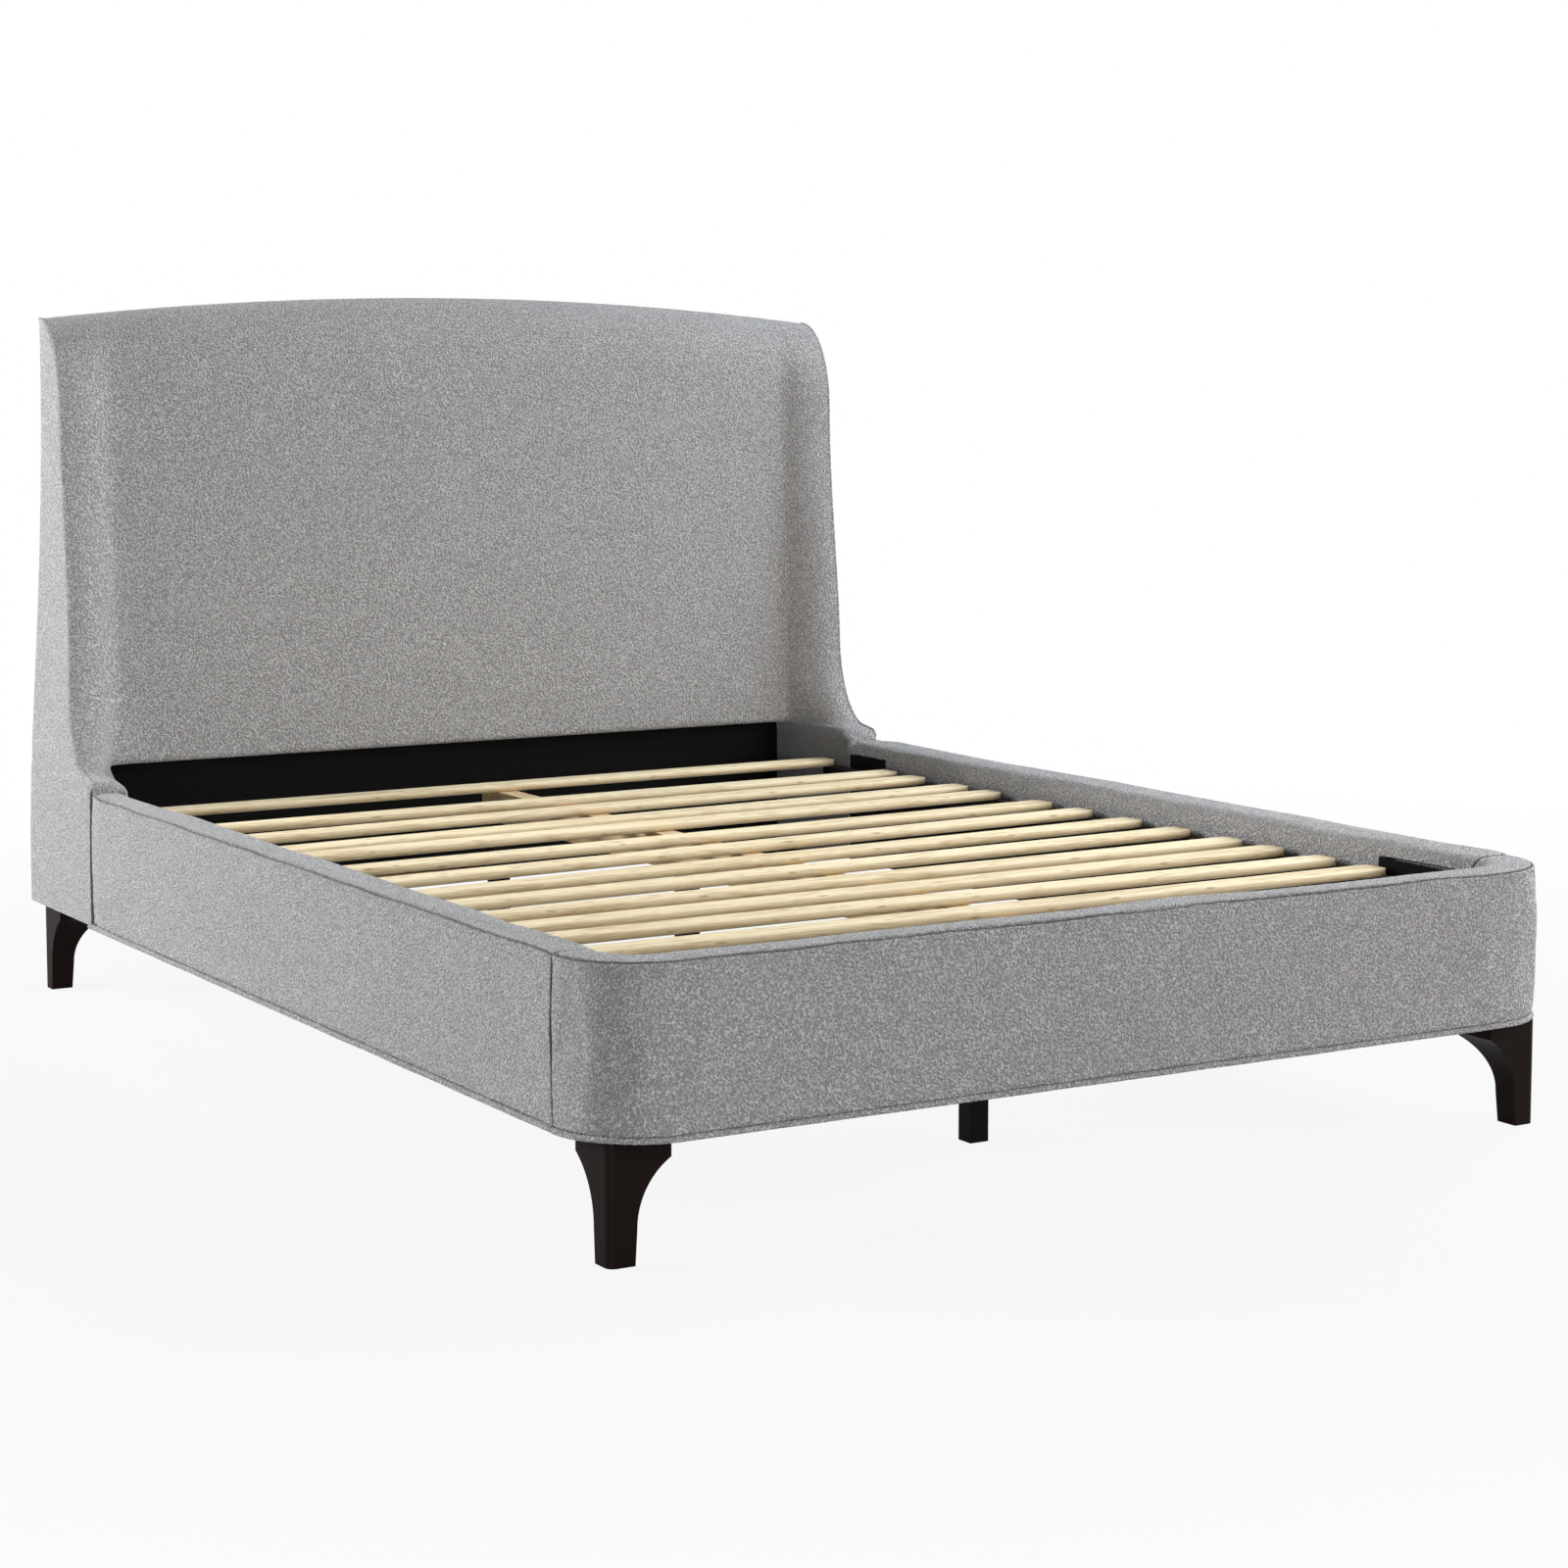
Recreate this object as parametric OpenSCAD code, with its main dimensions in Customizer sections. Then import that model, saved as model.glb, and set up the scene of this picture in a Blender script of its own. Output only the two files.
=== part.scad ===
// Upholstered queen-size platform bed with a gently arched headboard between
// sleigh-profile wings, a round-cornered footboard, padded side rails, pine
// slats on a centre beam, four bracket legs and three centre legs.
// Millimetres, +Z up, head at +Y, origin on the floor at the middle of the bed.

/* [Bed] */
// Overall width across the welts of the side rails
bed_w = 1720; // [1560:10:1900]
// Overall length from the footboard's welt to the foot of the back
bed_l = 2360; // [2260:10:2500]
// Height of the headboard at the middle of its arch
headboard_h = 1320; // [1200:10:1450]
// Clear height under the upholstery
leg_h = 168; // [140:1:200]

/* [Rails and footboard] */
// Height of the upholstered rails and footboard
rail_h = 247; // [230:1:270]
// Thickness of the upholstered rails and footboard
panel_t = 80; // [76:1:90]
// Foam and fabric on each side of the timber core
foam_side = 20; // [15:1:24]
// Foam and fabric on top of the timber core
foam_top = 22; // [15:1:30]
// Radius of the crisp outer top edge
outer_edge_r = 7; // [3:1:12]
// Radius of the soft inner top edge
inner_edge_r = 26; // [15:1:35]
// Outer radius of the footboard's corners
corner_r = 130; // [110:1:160]
// Straight length of the footboard past its corners
wrap_past = 5; // [0:1:30]
// Gap where a rail meets a wing
wing_gap = 3; // [1:0.5:5]
// Radius of the welt cord round the bottom edge
welt_r = 4.5; // [3:0.5:6]
// How far the bottom welt stands out of the fabric
welt_proud = 3; // [1:0.5:3]

/* [Headboard] */
// How much lower the arch is at its ends
arch_rise = 46; // [30:1:70]
// Distance from the pad's face to the foot of the back
headboard_d = 169; // [160:1:190]
// Foam thickness of the front pad
pad_t = 50; // [35:1:60]
// Height of the pad's lower edge above the rails
pad_lift = 23; // [10:1:40]
// Height of the rolled top of the pad
pad_roll_h = 120; // [90:1:140]
// How far the back leans forward by the top
back_lean = 82; // [60:1:90]
// Height of the upright foot of the back
back_foot_h = 82; // [40:1:120]
// Height of the upright top of the back
back_head_h = 60; // [30:1:90]
// Thickness of the plywood panel
panel_ply = 15; // [9:1:18]
// Timber height below the top of the roll
top_cover = 36; // [32:1:50]
// Thickness of the back cover
back_t = 3; // [2:0.5:5]
// Width of the timbers of the headboard frame
frame_w = 60; // [40:1:80]

/* [Wings] */
// Length of a wing along the floor
wing_l = 363; // [340:1:390]
// How far a wing stands back from the rail's outer face
wing_recess = 12; // [5:1:15]
// How far the outer face leans in by the top
wing_tilt = 13; // [0:1:16]
// How far the inner face swells towards the pad
wing_swell = 30; // [15:1:40]
// Distance from the toe to where the inner face starts to swell
swell_start = 55; // [40:1:80]
// Height of the round toe above the rail
toe_h = 19; // [12:1:25]
// Radius of the toe's front
toe_r = 15; // [8:1:18]
// Length of the flat toe
toe_l = 38; // [30:1:50]
// Rise from the toe to the start of the sweep
toe_rise = 4; // [1:1:10]
// Depth of the concave sweep above the toe
sweep_d = 98; // [85:1:105]
// Height of the concave sweep above the toe
sweep_h = 172; // [140:1:210]
// How far the front edge leans back above the sweep
front_lean = 35; // [20:1:45]
// Height of the rolled top of the front edge
roll_h = 175; // [140:1:200]
// Largest radius of the soft inner front edge
soft_r = 35; // [20:1:40]
// Thickness of the wing's timber board
wing_board_t = 24; // [18:1:25]
// Radius of the welt cord on the front edge
wing_welt_r = 3; // [2:0.5:4]

/* [Slats and centre beam] */
// Number of slats
slat_count = 13; // [11:1:14]
// Width of a slat
slat_w = 58; // [50:1:70]
// Thickness of a slat
slat_t = 14; // [10:1:18]
// Depth of the slats' top face below the rails
slat_drop = 42; // [35:1:60]
// Gap between a slat's end and the rail
slat_end_gap = 14; // [5:1:14]
// Corner radius of a slat's ends in plan
slat_end_r = 12; // [6:1:20]
// Distance from the pad's face to the first slat's middle line
first_slat = 151; // [140:1:200]
// Distance from the first to the second slat's middle lines
head_pitch = 249; // [220:1:260]
// Distance from the footboard to the last slat's middle line
last_slat = 257; // [230:1:270]
// Width of the ledgers that carry the slats' ends
ledger_w = 30; // [25:1:40]
// Height of the ledgers
ledger_h = 30; // [25:1:40]
// Width of the centre beam
beam_w = 40; // [35:1:60]
// Height of the centre beam
beam_h = 60; // [50:1:80]
// Distance from the pad's face to the centre beam's end
beam_end = 105; // [90:1:140]
// Width of a centre leg
center_leg_w = 33; // [30:1:45]

/* [Bracket legs] */
// Inset of the legs from the fabric of the rails and footboard
leg_inset = 33; // [30:1:40]
// Inset of the rear legs from the back
leg_rear_inset = 10; // [5:1:20]
// Width of a leg at the floor
leg_w = 40; // [34:1:41]
// Width of a leg where its flare starts
leg_waist_w = 43; // [41:1:50]
// Height of a leg's straight taper
leg_waist_h = 50; // [30:1:65]
// Width of a leg at its top
leg_top_w = 95; // [85:1:110]
// Height of the lip at the top of the leg
lip_h = 26; // [15:1:32]
// Radius of the outer vertical edge
leg_edge_r = 13; // [8:1:16]

/* [Brackets and bolts] */
// Thickness of the steel brackets
bracket_t = 4; // [3:0.5:5]
// Height of the steel brackets
bracket_h = 120; // [90:1:130]
// Length of a bracket's arm along the rail
bracket_arm = 90; // [70:1:100]
// Thread diameter of the bolts
bolt_d = 8; // [6:1:10]
// Diameter of the bolt heads
bolt_head_d = 14; // [12:1:16]
// Thickness of the bolt heads
bolt_head_h = 5; // [4:1:6]
// Length of the bolts below their heads
bolt_l = 22; // [15:1:24]
// Length of the pocket for the rail's head bracket
head_pocket_l = 128; // [115:1:150]
// Length of the pocket for the rail's foot bracket
foot_pocket_l = 220; // [150:1:240]

/* [Hidden] */
$fn = 48;

// Clearance between pieces with curved or close faces
fit = 0.3;
// Least depth of the crease between a wing and the pad
crease_d = 2;
// How far below the rails' top the wings start to lean in
tilt_below = 200;
// Crown of a wing's front face, and where it is highest across the face
front_crown = 1.5;
front_crown_at = 0.35;
// Foam and fabric on the front and top edges of the wing boards
wing_foam = 20;
// Radius of a wing's inner front edge below the rails' top
foot_edge_r = 4;
// Flat strip between a bracket pocket and the soft edge above it
pocket_lip = 4;
// Thickness of black cloth
cloth_t = 1.5;
// Reach of a cutter past what it cuts
past = 1;

// Ends of the bed, fabric faces of the footboard and rails
foot_y = -bed_l / 2;
head_y = bed_l / 2;
face_x = bed_w / 2 - welt_proud;
face_y = foot_y + welt_proud;
well_x = face_x - panel_t;
well_y = face_y + panel_t;

// Levels
rail_top = leg_h + rail_h;
slat_top = rail_top - slat_drop;
slat_bottom = slat_top - slat_t;
pad_bottom = rail_top + pad_lift;
core_top = rail_h - foam_top;

// Headboard planes
pad_y = head_y - headboard_d;
ply_y = pad_y + pad_t;
frame_y = ply_y + panel_ply;
top_back_y = head_y - back_lean;
back_lean_z = leg_h + back_foot_h;

// Wings
wing_x = face_x - wing_recess;
crease_x = well_x - wing_swell;
toe_y = head_y - wing_l;
swell_y = toe_y + swell_start;
board_in_x = face_x - panel_t + foam_side;
board_out_x = board_in_x + wing_board_t;
wing_top = headboard_h - arch_rise;
sweep_y = toe_y + toe_l;
sweep_z = rail_top + toe_h + toe_rise;
lean_y = sweep_y + sweep_d;
lean_z = sweep_z + sweep_h;
roll_y = lean_y + front_lean;
roll_z = wing_top - roll_h;
roll_d = top_back_y - roll_y;

// Arch of the headboard's top, a circle through its middle and its ends
arch_half = wing_x - wing_tilt;
arch_r = arch_half * arch_half / (2 * arch_rise) + arch_rise / 2;
arch_z = headboard_h - arch_r;

// Rails
rail_y0 = face_y + corner_r + wrap_past;
rail_y1 = toe_y - wing_gap;
inner_y0 = rail_y0 + 2 * bracket_t;

// Legs: outer face, outer face of the front legs, outer face of the rear legs
leg_x = face_x - leg_inset;
leg_front_y = face_y + leg_inset;
leg_rear_y = head_y - leg_rear_inset;

// Brackets, fixed at mid height of the rails' cores
bracket_z = leg_h + (core_top - bracket_h) / 2;
bolt_pitch_z = bracket_h / 2;
bolt_inset = 18;

// Slats, stapled by hand: how far each is off its even place towards the head,
// and how much further towards the head its right end lies than its left end
slat_y0 = pad_y - first_slat;
slat_y1 = slat_y0 - head_pitch;
slat_y_last = well_y + last_slat;
slat_pitch = (slat_y1 - slat_y_last) / (slat_count - 2);
SLAT_NUDGE = [0, 0, 2, -22, 12, -26, -31, -43, -39, -40, -18, -5, 0, 0];
SLAT_SKEW = [34, 52, 102, 110, 87, 86, 106, 97, 69, 46, 42, 11, 15, 15];

// Legs under the beam, measured from the first slat to the last
CENTER_LEG_AT = [-0.01, 0.437, 0.968];

function slat_name(i) = str("slat_", i < 10 ? "0" : "", i);

// ---------------------------------------------------------------- forms

// 0 below a, 1 above b, and an S-curve between
function ease(z, a, b) =
    let (u = max(0, min(1, (z - a) / (b - a))))
    u * u * (3 - 2 * u);

// Height of the arch x away from the middle
function arch_top(x) = arch_z + sqrt(arch_r * arch_r - x * x);

// Place of the back at a height
function back_y(z) = head_y - back_lean * ease(z, back_lean_z, wing_top - back_head_h);

// Outer face of a wing at a height
function wing_out_x(z) = wing_x - wing_tilt * sin(90 * ease(z, rail_top - tilt_below, roll_z));

// Face of the pad at a height, as it is beside a wing
function pad_face(z) =
    let (u = max(0, min(1, (z - (wing_top - pad_roll_h)) / pad_roll_h)))
    pad_y + (top_back_y - pad_y) * (1 - sqrt(1 - u * u));

// Inner face of a wing, which swells from the rail towards the pad
function wing_inside(y) =
    well_x - wing_swell * max(0, min(1, (y - swell_y) / (pad_y - swell_y)));

// Front edge of a wing as [y, z]: foot, round toe, concave sweep, lean, rolled top
WING_FRONT = concat(
    [[toe_y, leg_h]],
    [for (a = [0:30:90]) [toe_y + toe_r * (1 - cos(a)), rail_top + toe_h - toe_r * (1 - sin(a))]],
    [for (a = [0:10:90]) [sweep_y + sweep_d * sin(a), sweep_z + sweep_h * (1 - cos(a))]],
    [for (f = [0.25:0.25:0.75]) [lean_y + front_lean * f, lean_z + (roll_z - lean_z) * f]],
    [for (a = [0:10:80]) [roll_y + roll_d * (1 - cos(a)), roll_z + roll_h * sin(a)]]
);

// Side view of the headboard's back as [y, z], from the floor side up
BACK = [for (k = [0:20]) let (z = leg_h + (headboard_h - leg_h) * k / 20) [back_y(z), z]];

// Height of a wing's station z where the wing is x away from the middle
function bend(x, z) = z <= rail_top ? z :
    rail_top + (z - rail_top) * (arch_top(x) - rail_top) / (arch_top(wing_out_x(z)) - rail_top);

// One station of the right wing, seen from above, as [x, y, z]
function wing_station(front) =
    let (z = front[1],
         y = front[0],
         out_x = wing_out_x(z),
         r = z < rail_top + past ? foot_edge_r : max(past, min(soft_r, pad_face(z) - y - crease_d)),
         in_x = wing_inside(y),
         crown = z > rail_top ? front_crown : 0,
         side_y = max(y + r, swell_y),
         flat = concat(
             [[out_x, y], [out_x - (out_x - in_x) * front_crown_at, y - crown]],
             [for (a = [270:-18:180]) [in_x + r + r * cos(a), y + r + r * sin(a)]],
             [[wing_inside(side_y), min(side_y, pad_face(z) - fit)]],
             [[crease_x, max(pad_face(z), y + r + past)], [crease_x, back_y(z)], [out_x, back_y(z)]]))
    [for (p = flat) [p[0], p[1], bend(p[0], z)]];

// Skin through stations of equal length, with flat ends
module loft(stations) {
    n = len(stations[0]);
    m = len(stations);
    sides = [for (i = [0:m - 2], j = [0:n - 1])
        let (k = (j + 1) % n)
        each [[i * n + j, i * n + k, (i + 1) * n + k], [i * n + j, (i + 1) * n + k, (i + 1) * n + j]]];
    polyhedron(
        points = [for (s = stations) each s],
        faces = concat([[for (j = [n - 1:-1:0]) j]], sides, [[for (j = [0:n - 1]) (m - 1) * n + j]]),
        convexity = 6);
}

// Round rod along a path in a plane x = constant, one ring at each point
module rod(path, r) {
    sides = 10;
    last = len(path) - 1;
    loft([for (i = [0:last])
        let (d = path[min(last, i + 1)] - path[max(0, i - 1)], u = d / norm(d))
        [for (j = [0:sides - 1])
            let (a = 360 * j / sides)
            path[i] + r * [cos(a), -u[2] * sin(a), u[1] * sin(a)]]]);
}

// What rounding takes off a corner whose sides run along +x and +y
module round_off(r) {
    difference() {
        square(r + past);
        circle(r);
    }
}

// Puts a shape on the left as well, as its mirror image
module on(side) {
    if (side == "left") mirror([1, 0, 0]) children();
    else children();
}

// Stands a shape drawn as [y, z] across the bed from x0 to x1
module across(x0, x1) {
    translate([x0, 0, 0]) rotate([90, 0, 90]) linear_extrude(x1 - x0) children();
}

// Stands a shape drawn as [x, z] along the bed from y0 to y1
module along(y0, y1) {
    translate([0, y1, 0]) rotate([90, 0, 0]) linear_extrude(y1 - y0) children();
}

// Outline of a rail or the footboard: x inwards from the fabric, y up from its underside
module panel_outline() {
    difference() {
        square([panel_t, rail_h]);
        translate([outer_edge_r, rail_h - outer_edge_r]) mirror([1, 0]) round_off(outer_edge_r);
        translate([panel_t - inner_edge_r, rail_h - inner_edge_r]) round_off(inner_edge_r);
    }
}

// Outline of the timber core inside a rail or the footboard
module core_outline() {
    translate([foam_side, 0]) square([panel_t - 2 * foam_side, core_top]);
}

// Outline of the welt cord on the bottom edge
module welt_outline() {
    translate([welt_r - welt_proud, welt_r]) circle(welt_r);
}

// Outline of the foam and fabric over the core
module pad_outline() {
    difference() {
        panel_outline();
        translate([foam_side, -past]) square([panel_t - 2 * foam_side, core_top + past]);
        welt_outline();
        translate([-past, -past]) square([welt_r - welt_proud + past, welt_r + past]);
    }
}

// Carries an outline along the right rail from y0 to y1
module along_rail(y0, y1) {
    translate([face_x, y0, leg_h]) rotate([90, 0, 180]) linear_extrude(y1 - y0) children();
}

// Carries an outline round the footboard: straight front, two corners, two short returns
module round_footboard() {
    translate([corner_r - face_x, face_y, leg_h])
        rotate([90, 0, 90]) linear_extrude(2 * (face_x - corner_r)) children();
    for (side = ["left", "right"]) on(side) {
        translate([face_x - corner_r, face_y + corner_r, leg_h])
            rotate([0, 0, -90]) rotate_extrude(angle = 90, $fn = 96)
                translate([corner_r, 0]) mirror([1, 0]) children();
        if (wrap_past > 0) along_rail(face_y + corner_r, rail_y0) children();
    }
}

// Turns a side section [radius, y] about the centre of the headboard's arch
module round_arch() {
    sweep = 2 * asin((bed_w / 2) / (arch_r - headboard_h));
    translate([0, 0, arch_z]) rotate([-90, 0, 0]) rotate([0, 0, -90 - sweep / 2])
        rotate_extrude(angle = sweep, $fn = 1440) children();
}

// Front view of everything below the arch, lowered by drop, half_w to each side
module under_arch(half_w, z0, drop) {
    intersection() {
        translate([-half_w, z0]) square([2 * half_w, headboard_h - drop - z0 + past]);
        translate([0, arch_z]) circle(arch_r - drop, $fn = 1440);
    }
}

// Side view between the wing's front edge and the back, each moved inwards
module wing_side_view(front_in, top_in, back_in) {
    intersection() {
        polygon(concat(
            [[toe_y + front_in, leg_h - past]],
            [for (p = WING_FRONT) if (p[1] > leg_h) [p[0] + front_in, p[1] - top_in]],
            [[head_y + past, wing_top - top_in], [head_y + past, leg_h - past]]));
        polygon(concat(
            [[toe_y - past, headboard_h], [toe_y - past, leg_h]],
            [for (p = BACK) [p[0] - back_in, p[1]]]));
    }
}

// ------------------------------------------------------------- headboard

// Softwood frame behind the panel, deepest at the floor and thin at the top
module headboard_frame() {
    color("burlywood")
    intersection() {
        along(frame_y, head_y) difference() {
            under_arch(board_in_x, leg_h, top_cover);
            for (side = [-1, 1]) {
                bay_x = (board_in_x - frame_w / 2 - frame_w) / 2 + frame_w / 2;
                bay_w = board_in_x - frame_w - frame_w / 2;
                translate([side * bay_x - bay_w / 2, leg_h + frame_w])
                    square([bay_w, rail_top - leg_h - 2 * frame_w]);
                translate([side * bay_x - bay_w / 2, 0]) intersection() {
                    translate([0, rail_top]) square([bay_w, headboard_h - rail_top]);
                    translate([-side * bay_x + bay_w / 2, arch_z])
                        circle(arch_r - top_cover - frame_w, $fn = 1440);
                }
            }
        }
        across(-board_in_x, board_in_x)
            polygon(concat(
                [[frame_y, headboard_h], [frame_y, leg_h]],
                [for (p = BACK) [p[0] - back_t, p[1]]]));
    }
}

// Arched plywood panel that carries the pad
module headboard_panel() {
    color("tan")
    along(ply_y, frame_y) under_arch(board_in_x, leg_h, top_cover);
}

// Foam and fabric on the front, rolled over the top of the panel
module headboard_pad() {
    half = crease_x - fit;
    section = concat(
        [[pad_bottom - arch_z - 2 * arch_rise, pad_y]],
        [for (a = [0:6:90]) [
            arch_r - pad_roll_h * (1 - sin(a)),
            pad_y + (top_back_y - pad_y) * (1 - cos(a))]],
        [[arch_r - top_cover, top_back_y], [arch_r - top_cover, ply_y]],
        [[pad_bottom - arch_z - 2 * arch_rise, ply_y]]);
    color("silver")
    intersection() {
        round_arch() polygon(section);
        translate([-half, pad_y - past, pad_bottom])
            cube([2 * half, headboard_d, headboard_h - pad_bottom + past]);
    }
}

// Cover over the back of the frame and the wing boards
module headboard_back() {
    color("dimgray")
    intersection() {
        along(frame_y, head_y + past) under_arch(board_out_x, leg_h, top_cover);
        across(-board_out_x, board_out_x)
            polygon(concat(
                [for (p = BACK) p],
                [for (k = [len(BACK) - 1:-1:0]) BACK[k] - [back_t, 0]]));
    }
}

// Black cloth over the panel below the pad
module headboard_lower_cloth() {
    color("black")
    translate([-crease_x + fit, ply_y - cloth_t, leg_h + 2 * welt_r])
        cube([2 * (crease_x - fit), cloth_t, pad_bottom - leg_h - 2 * welt_r - fit]);
}

// ----------------------------------------------------------------- wings

// Blank of the wing board, its back edge back_in inside the back's face
module wing_blank(back_in) {
    across(board_in_x, board_out_x) intersection() {
        wing_side_view(wing_foam, wing_foam, back_in);
        square([bed_l, arch_top(board_out_x) - top_cover]);
    }
}

// Timber side board of a wing
module wing_board(side) {
    color("burlywood")
    on(side) difference() {
        wing_blank(back_t);
        wing_bolts(fit);
        leg_bolt([leg_x, leg_rear_y], -1, fit);
    }
}

// Foam and fabric of a wing: flat outside, soft and swelling inside
module wing_pad(side) {
    color("gainsboro")
    on(side) difference() {
        loft([for (p = WING_FRONT) wing_station(p)]);
        // Slot for the wing board
        wing_blank(-past);
        translate([0, 0, -past]) wing_blank(-past);
        // Space for the panel and the frame
        along(ply_y, head_y + past) under_arch(board_in_x, leg_h - past, top_cover);
        // Slot for the arm of the head bracket and its bolts
        translate([board_in_x - bracket_t - bolt_head_h, toe_y - past, bracket_z])
            cube([bracket_t + bolt_head_h, bracket_arm + past, bracket_h]);
    }
}

// Welt cord down the front edge of a wing
module wing_welt(side) {
    color("gainsboro")
    on(side) rod(
        [for (p = WING_FRONT) [wing_out_x(p[1]) + wing_welt_r + fit, p[0] + wing_welt_r * 0.3, p[1]]],
        wing_welt_r);
}

// ----------------------------------------------------------------- rails

// Timber core of a side rail
module rail_board(side) {
    color("burlywood")
    on(side) difference() {
        along_rail(rail_y0, rail_y1) core_outline();
        rail_bolts_one(fit);
    }
}

// Foam and fabric of a side rail, cut away inside for the brackets
module rail_pad(side) {
    color("gainsboro")
    on(side) difference() {
        along_rail(rail_y0, rail_y1) pad_outline();
        for (p = pockets())
            translate([well_x - past, p[0], leg_h - past])
                cube([foam_side + past, p[1] - p[0], pocket_h() + past]);
    }
}

// Welt cord along the bottom of a side rail
module rail_welt(side) {
    color("gainsboro")
    on(side) along_rail(rail_y0, rail_y1) welt_outline();
}

// The two pockets of a rail as [start, end]
function pockets() = [
    [rail_y0 - past, rail_y0 + foot_pocket_l],
    [rail_y1 - head_pocket_l, rail_y1 + past]];

// Height of the pockets, up to the soft edge of the rail
function pocket_h() = rail_h - inner_edge_r - pocket_lip;

// Black cloth on a rail's inner face, up to the slats, and higher over the pockets
module rail_inner_cloth(side) {
    color("black")
    on(side) across(well_x - cloth_t, well_x) intersection() {
        union() {
            translate([rail_y0, leg_h]) square([rail_y1 - rail_y0, slat_bottom - leg_h]);
            for (p = pockets())
                translate([p[0], leg_h]) square([p[1] - p[0], pocket_h()]);
        }
        translate([inner_y0, leg_h]) square([rail_y1 - inner_y0, rail_h]);
    }
}

// Timber ledger that carries the slats' ends
module ledger(side) {
    color("dimgray")
    on(side) translate([well_x - cloth_t - ledger_w, inner_y0, slat_bottom - ledger_h])
        cube([ledger_w, swell_y - 2 * fit - inner_y0, ledger_h]);
}

// -------------------------------------------------------------- footboard

// Timber core of the footboard with its laminated corners
module footboard_core() {
    color("burlywood")
    difference() {
        round_footboard() core_outline();
        for (side = ["left", "right"]) on(side) leg_bolt([leg_x, leg_front_y], 1, fit);
    }
}

// Foam and fabric of the footboard
module footboard_pad() {
    color("lightgray") round_footboard() pad_outline();
}

// Welt cord along the bottom of the footboard
module footboard_welt() {
    color("lightgray") round_footboard() welt_outline();
}

// Timber block in the inner corner, which takes the foot bracket
module corner_block(side) {
    inner_r = corner_r - panel_t;
    color("burlywood")
    on(side) difference() {
        translate([0, 0, leg_h]) linear_extrude(core_top - foam_top) {
            translate([face_x - corner_r, face_y + corner_r]) circle(inner_r - fit);
            translate([face_x - corner_r - inner_r, well_y]) square([inner_r, rail_y0 - well_y]);
            translate([face_x - corner_r, face_y + corner_r])
                square([inner_r - fit, max(wrap_past, fit)]);
        }
        translate([0, rail_y0, 0]) cube([bed_w, bed_w, headboard_h]);
        block_bolts(fit);
    }
}

// --------------------------------------------------------- slats and beam

// Middle line of slat i, the first at the head
function slat_y(i) = i == 1 ? slat_y0 : slat_y1 - slat_pitch * (i - 2) + SLAT_NUDGE[i - 1];

// Pine slat with round edges and eased ends
module slat(i) {
    half_l = well_x - slat_end_gap;
    edge_r = slat_t / 2;
    turn = atan(SLAT_SKEW[i - 1] / (2 * half_l));
    color("wheat")
    translate([0, slat_y(i), slat_bottom]) rotate(turn) intersection() {
        across(-half_l, half_l) {
            translate([edge_r - slat_w / 2, 0]) square([slat_w - slat_t, slat_t]);
            for (s = [-1, 1]) translate([s * (slat_w / 2 - edge_r), edge_r]) circle(edge_r);
        }
        linear_extrude(slat_t) difference() {
            square([2 * half_l, slat_w + past], center = true);
            for (sx = [0, 1], sy = [0, 1]) mirror([sx, 0]) mirror([0, sy])
                translate([half_l - slat_end_r, slat_w / 2 - slat_end_r]) round_off(slat_end_r);
        }
    }
}

// Timber beam under the middle of the slats
module center_beam() {
    beam_y0 = well_y + bracket_t;
    color("wheat")
    translate([-beam_w / 2, beam_y0, slat_bottom - beam_h])
        cube([beam_w, pad_y - beam_end - beam_y0, beam_h]);
}

// Steel hanger that holds the beam's end on the footboard
module beam_hanger() {
    cheek_l = beam_w;
    flange = beam_w * 0.55;
    z0 = slat_bottom - beam_h - bracket_t;
    color("black") difference() {
        union() {
            translate([-beam_w / 2 - bracket_t, well_y, z0])
                cube([beam_w + 2 * bracket_t, cheek_l, beam_h + bracket_t]);
            translate([-beam_w / 2 - flange, well_y, z0])
                cube([beam_w + 2 * flange, bracket_t, beam_h + bracket_t]);
        }
        translate([-beam_w / 2, well_y + bracket_t, slat_bottom - beam_h])
            cube([beam_w, cheek_l, beam_h + past]);
    }
}

// Square centre leg from the floor to the beam
module center_leg(i) {
    y = slat_y0 + (slat_y_last - slat_y0) * CENTER_LEG_AT[i];
    color("black")
    translate([-center_leg_w / 2, y - center_leg_w / 2, 0])
        cube([center_leg_w, center_leg_w, slat_bottom - beam_h]);
}

// ------------------------------------------------------------------- legs

// Side view of a leg: x from its outer face, a straight taper, a concave flare, a lip on top
module leg_side_view() {
    flare_w = leg_top_w - leg_waist_w;
    flare_h = leg_h - lip_h - leg_waist_h;
    flare_r = (flare_w * flare_w + flare_h * flare_h) / (2 * flare_w);
    difference() {
        square([leg_top_w, leg_h]);
        polygon([
            [leg_w, 0], [leg_w, -past], [leg_top_w + past, -past],
            [leg_top_w + past, leg_waist_h], [leg_waist_w, leg_waist_h]]);
        intersection() {
            translate([leg_waist_w + flare_r, leg_waist_h]) circle(flare_r, $fn = 180);
            translate([0, leg_waist_h - past]) square([leg_top_w + past, flare_h + past]);
        }
    }
}

// Bracket leg with its outer corner at [x, y], flaring towards the bed's middle; dir is +1 at the foot
module leg(side, y, dir) {
    color("#2e211c")
    on(side) difference() {
        translate([leg_x, y, 0]) mirror([0, dir < 0 ? 1 : 0, 0]) mirror([1, 0, 0]) difference() {
            intersection() {
                along(0, leg_top_w) leg_side_view();
                across(0, leg_top_w) leg_side_view();
            }
            translate([leg_edge_r, leg_edge_r, -past]) rotate(180)
                linear_extrude(leg_h + 2 * past) round_off(leg_edge_r);
        }
        leg_bolt([leg_x, y], dir, fit);
    }
}

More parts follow.
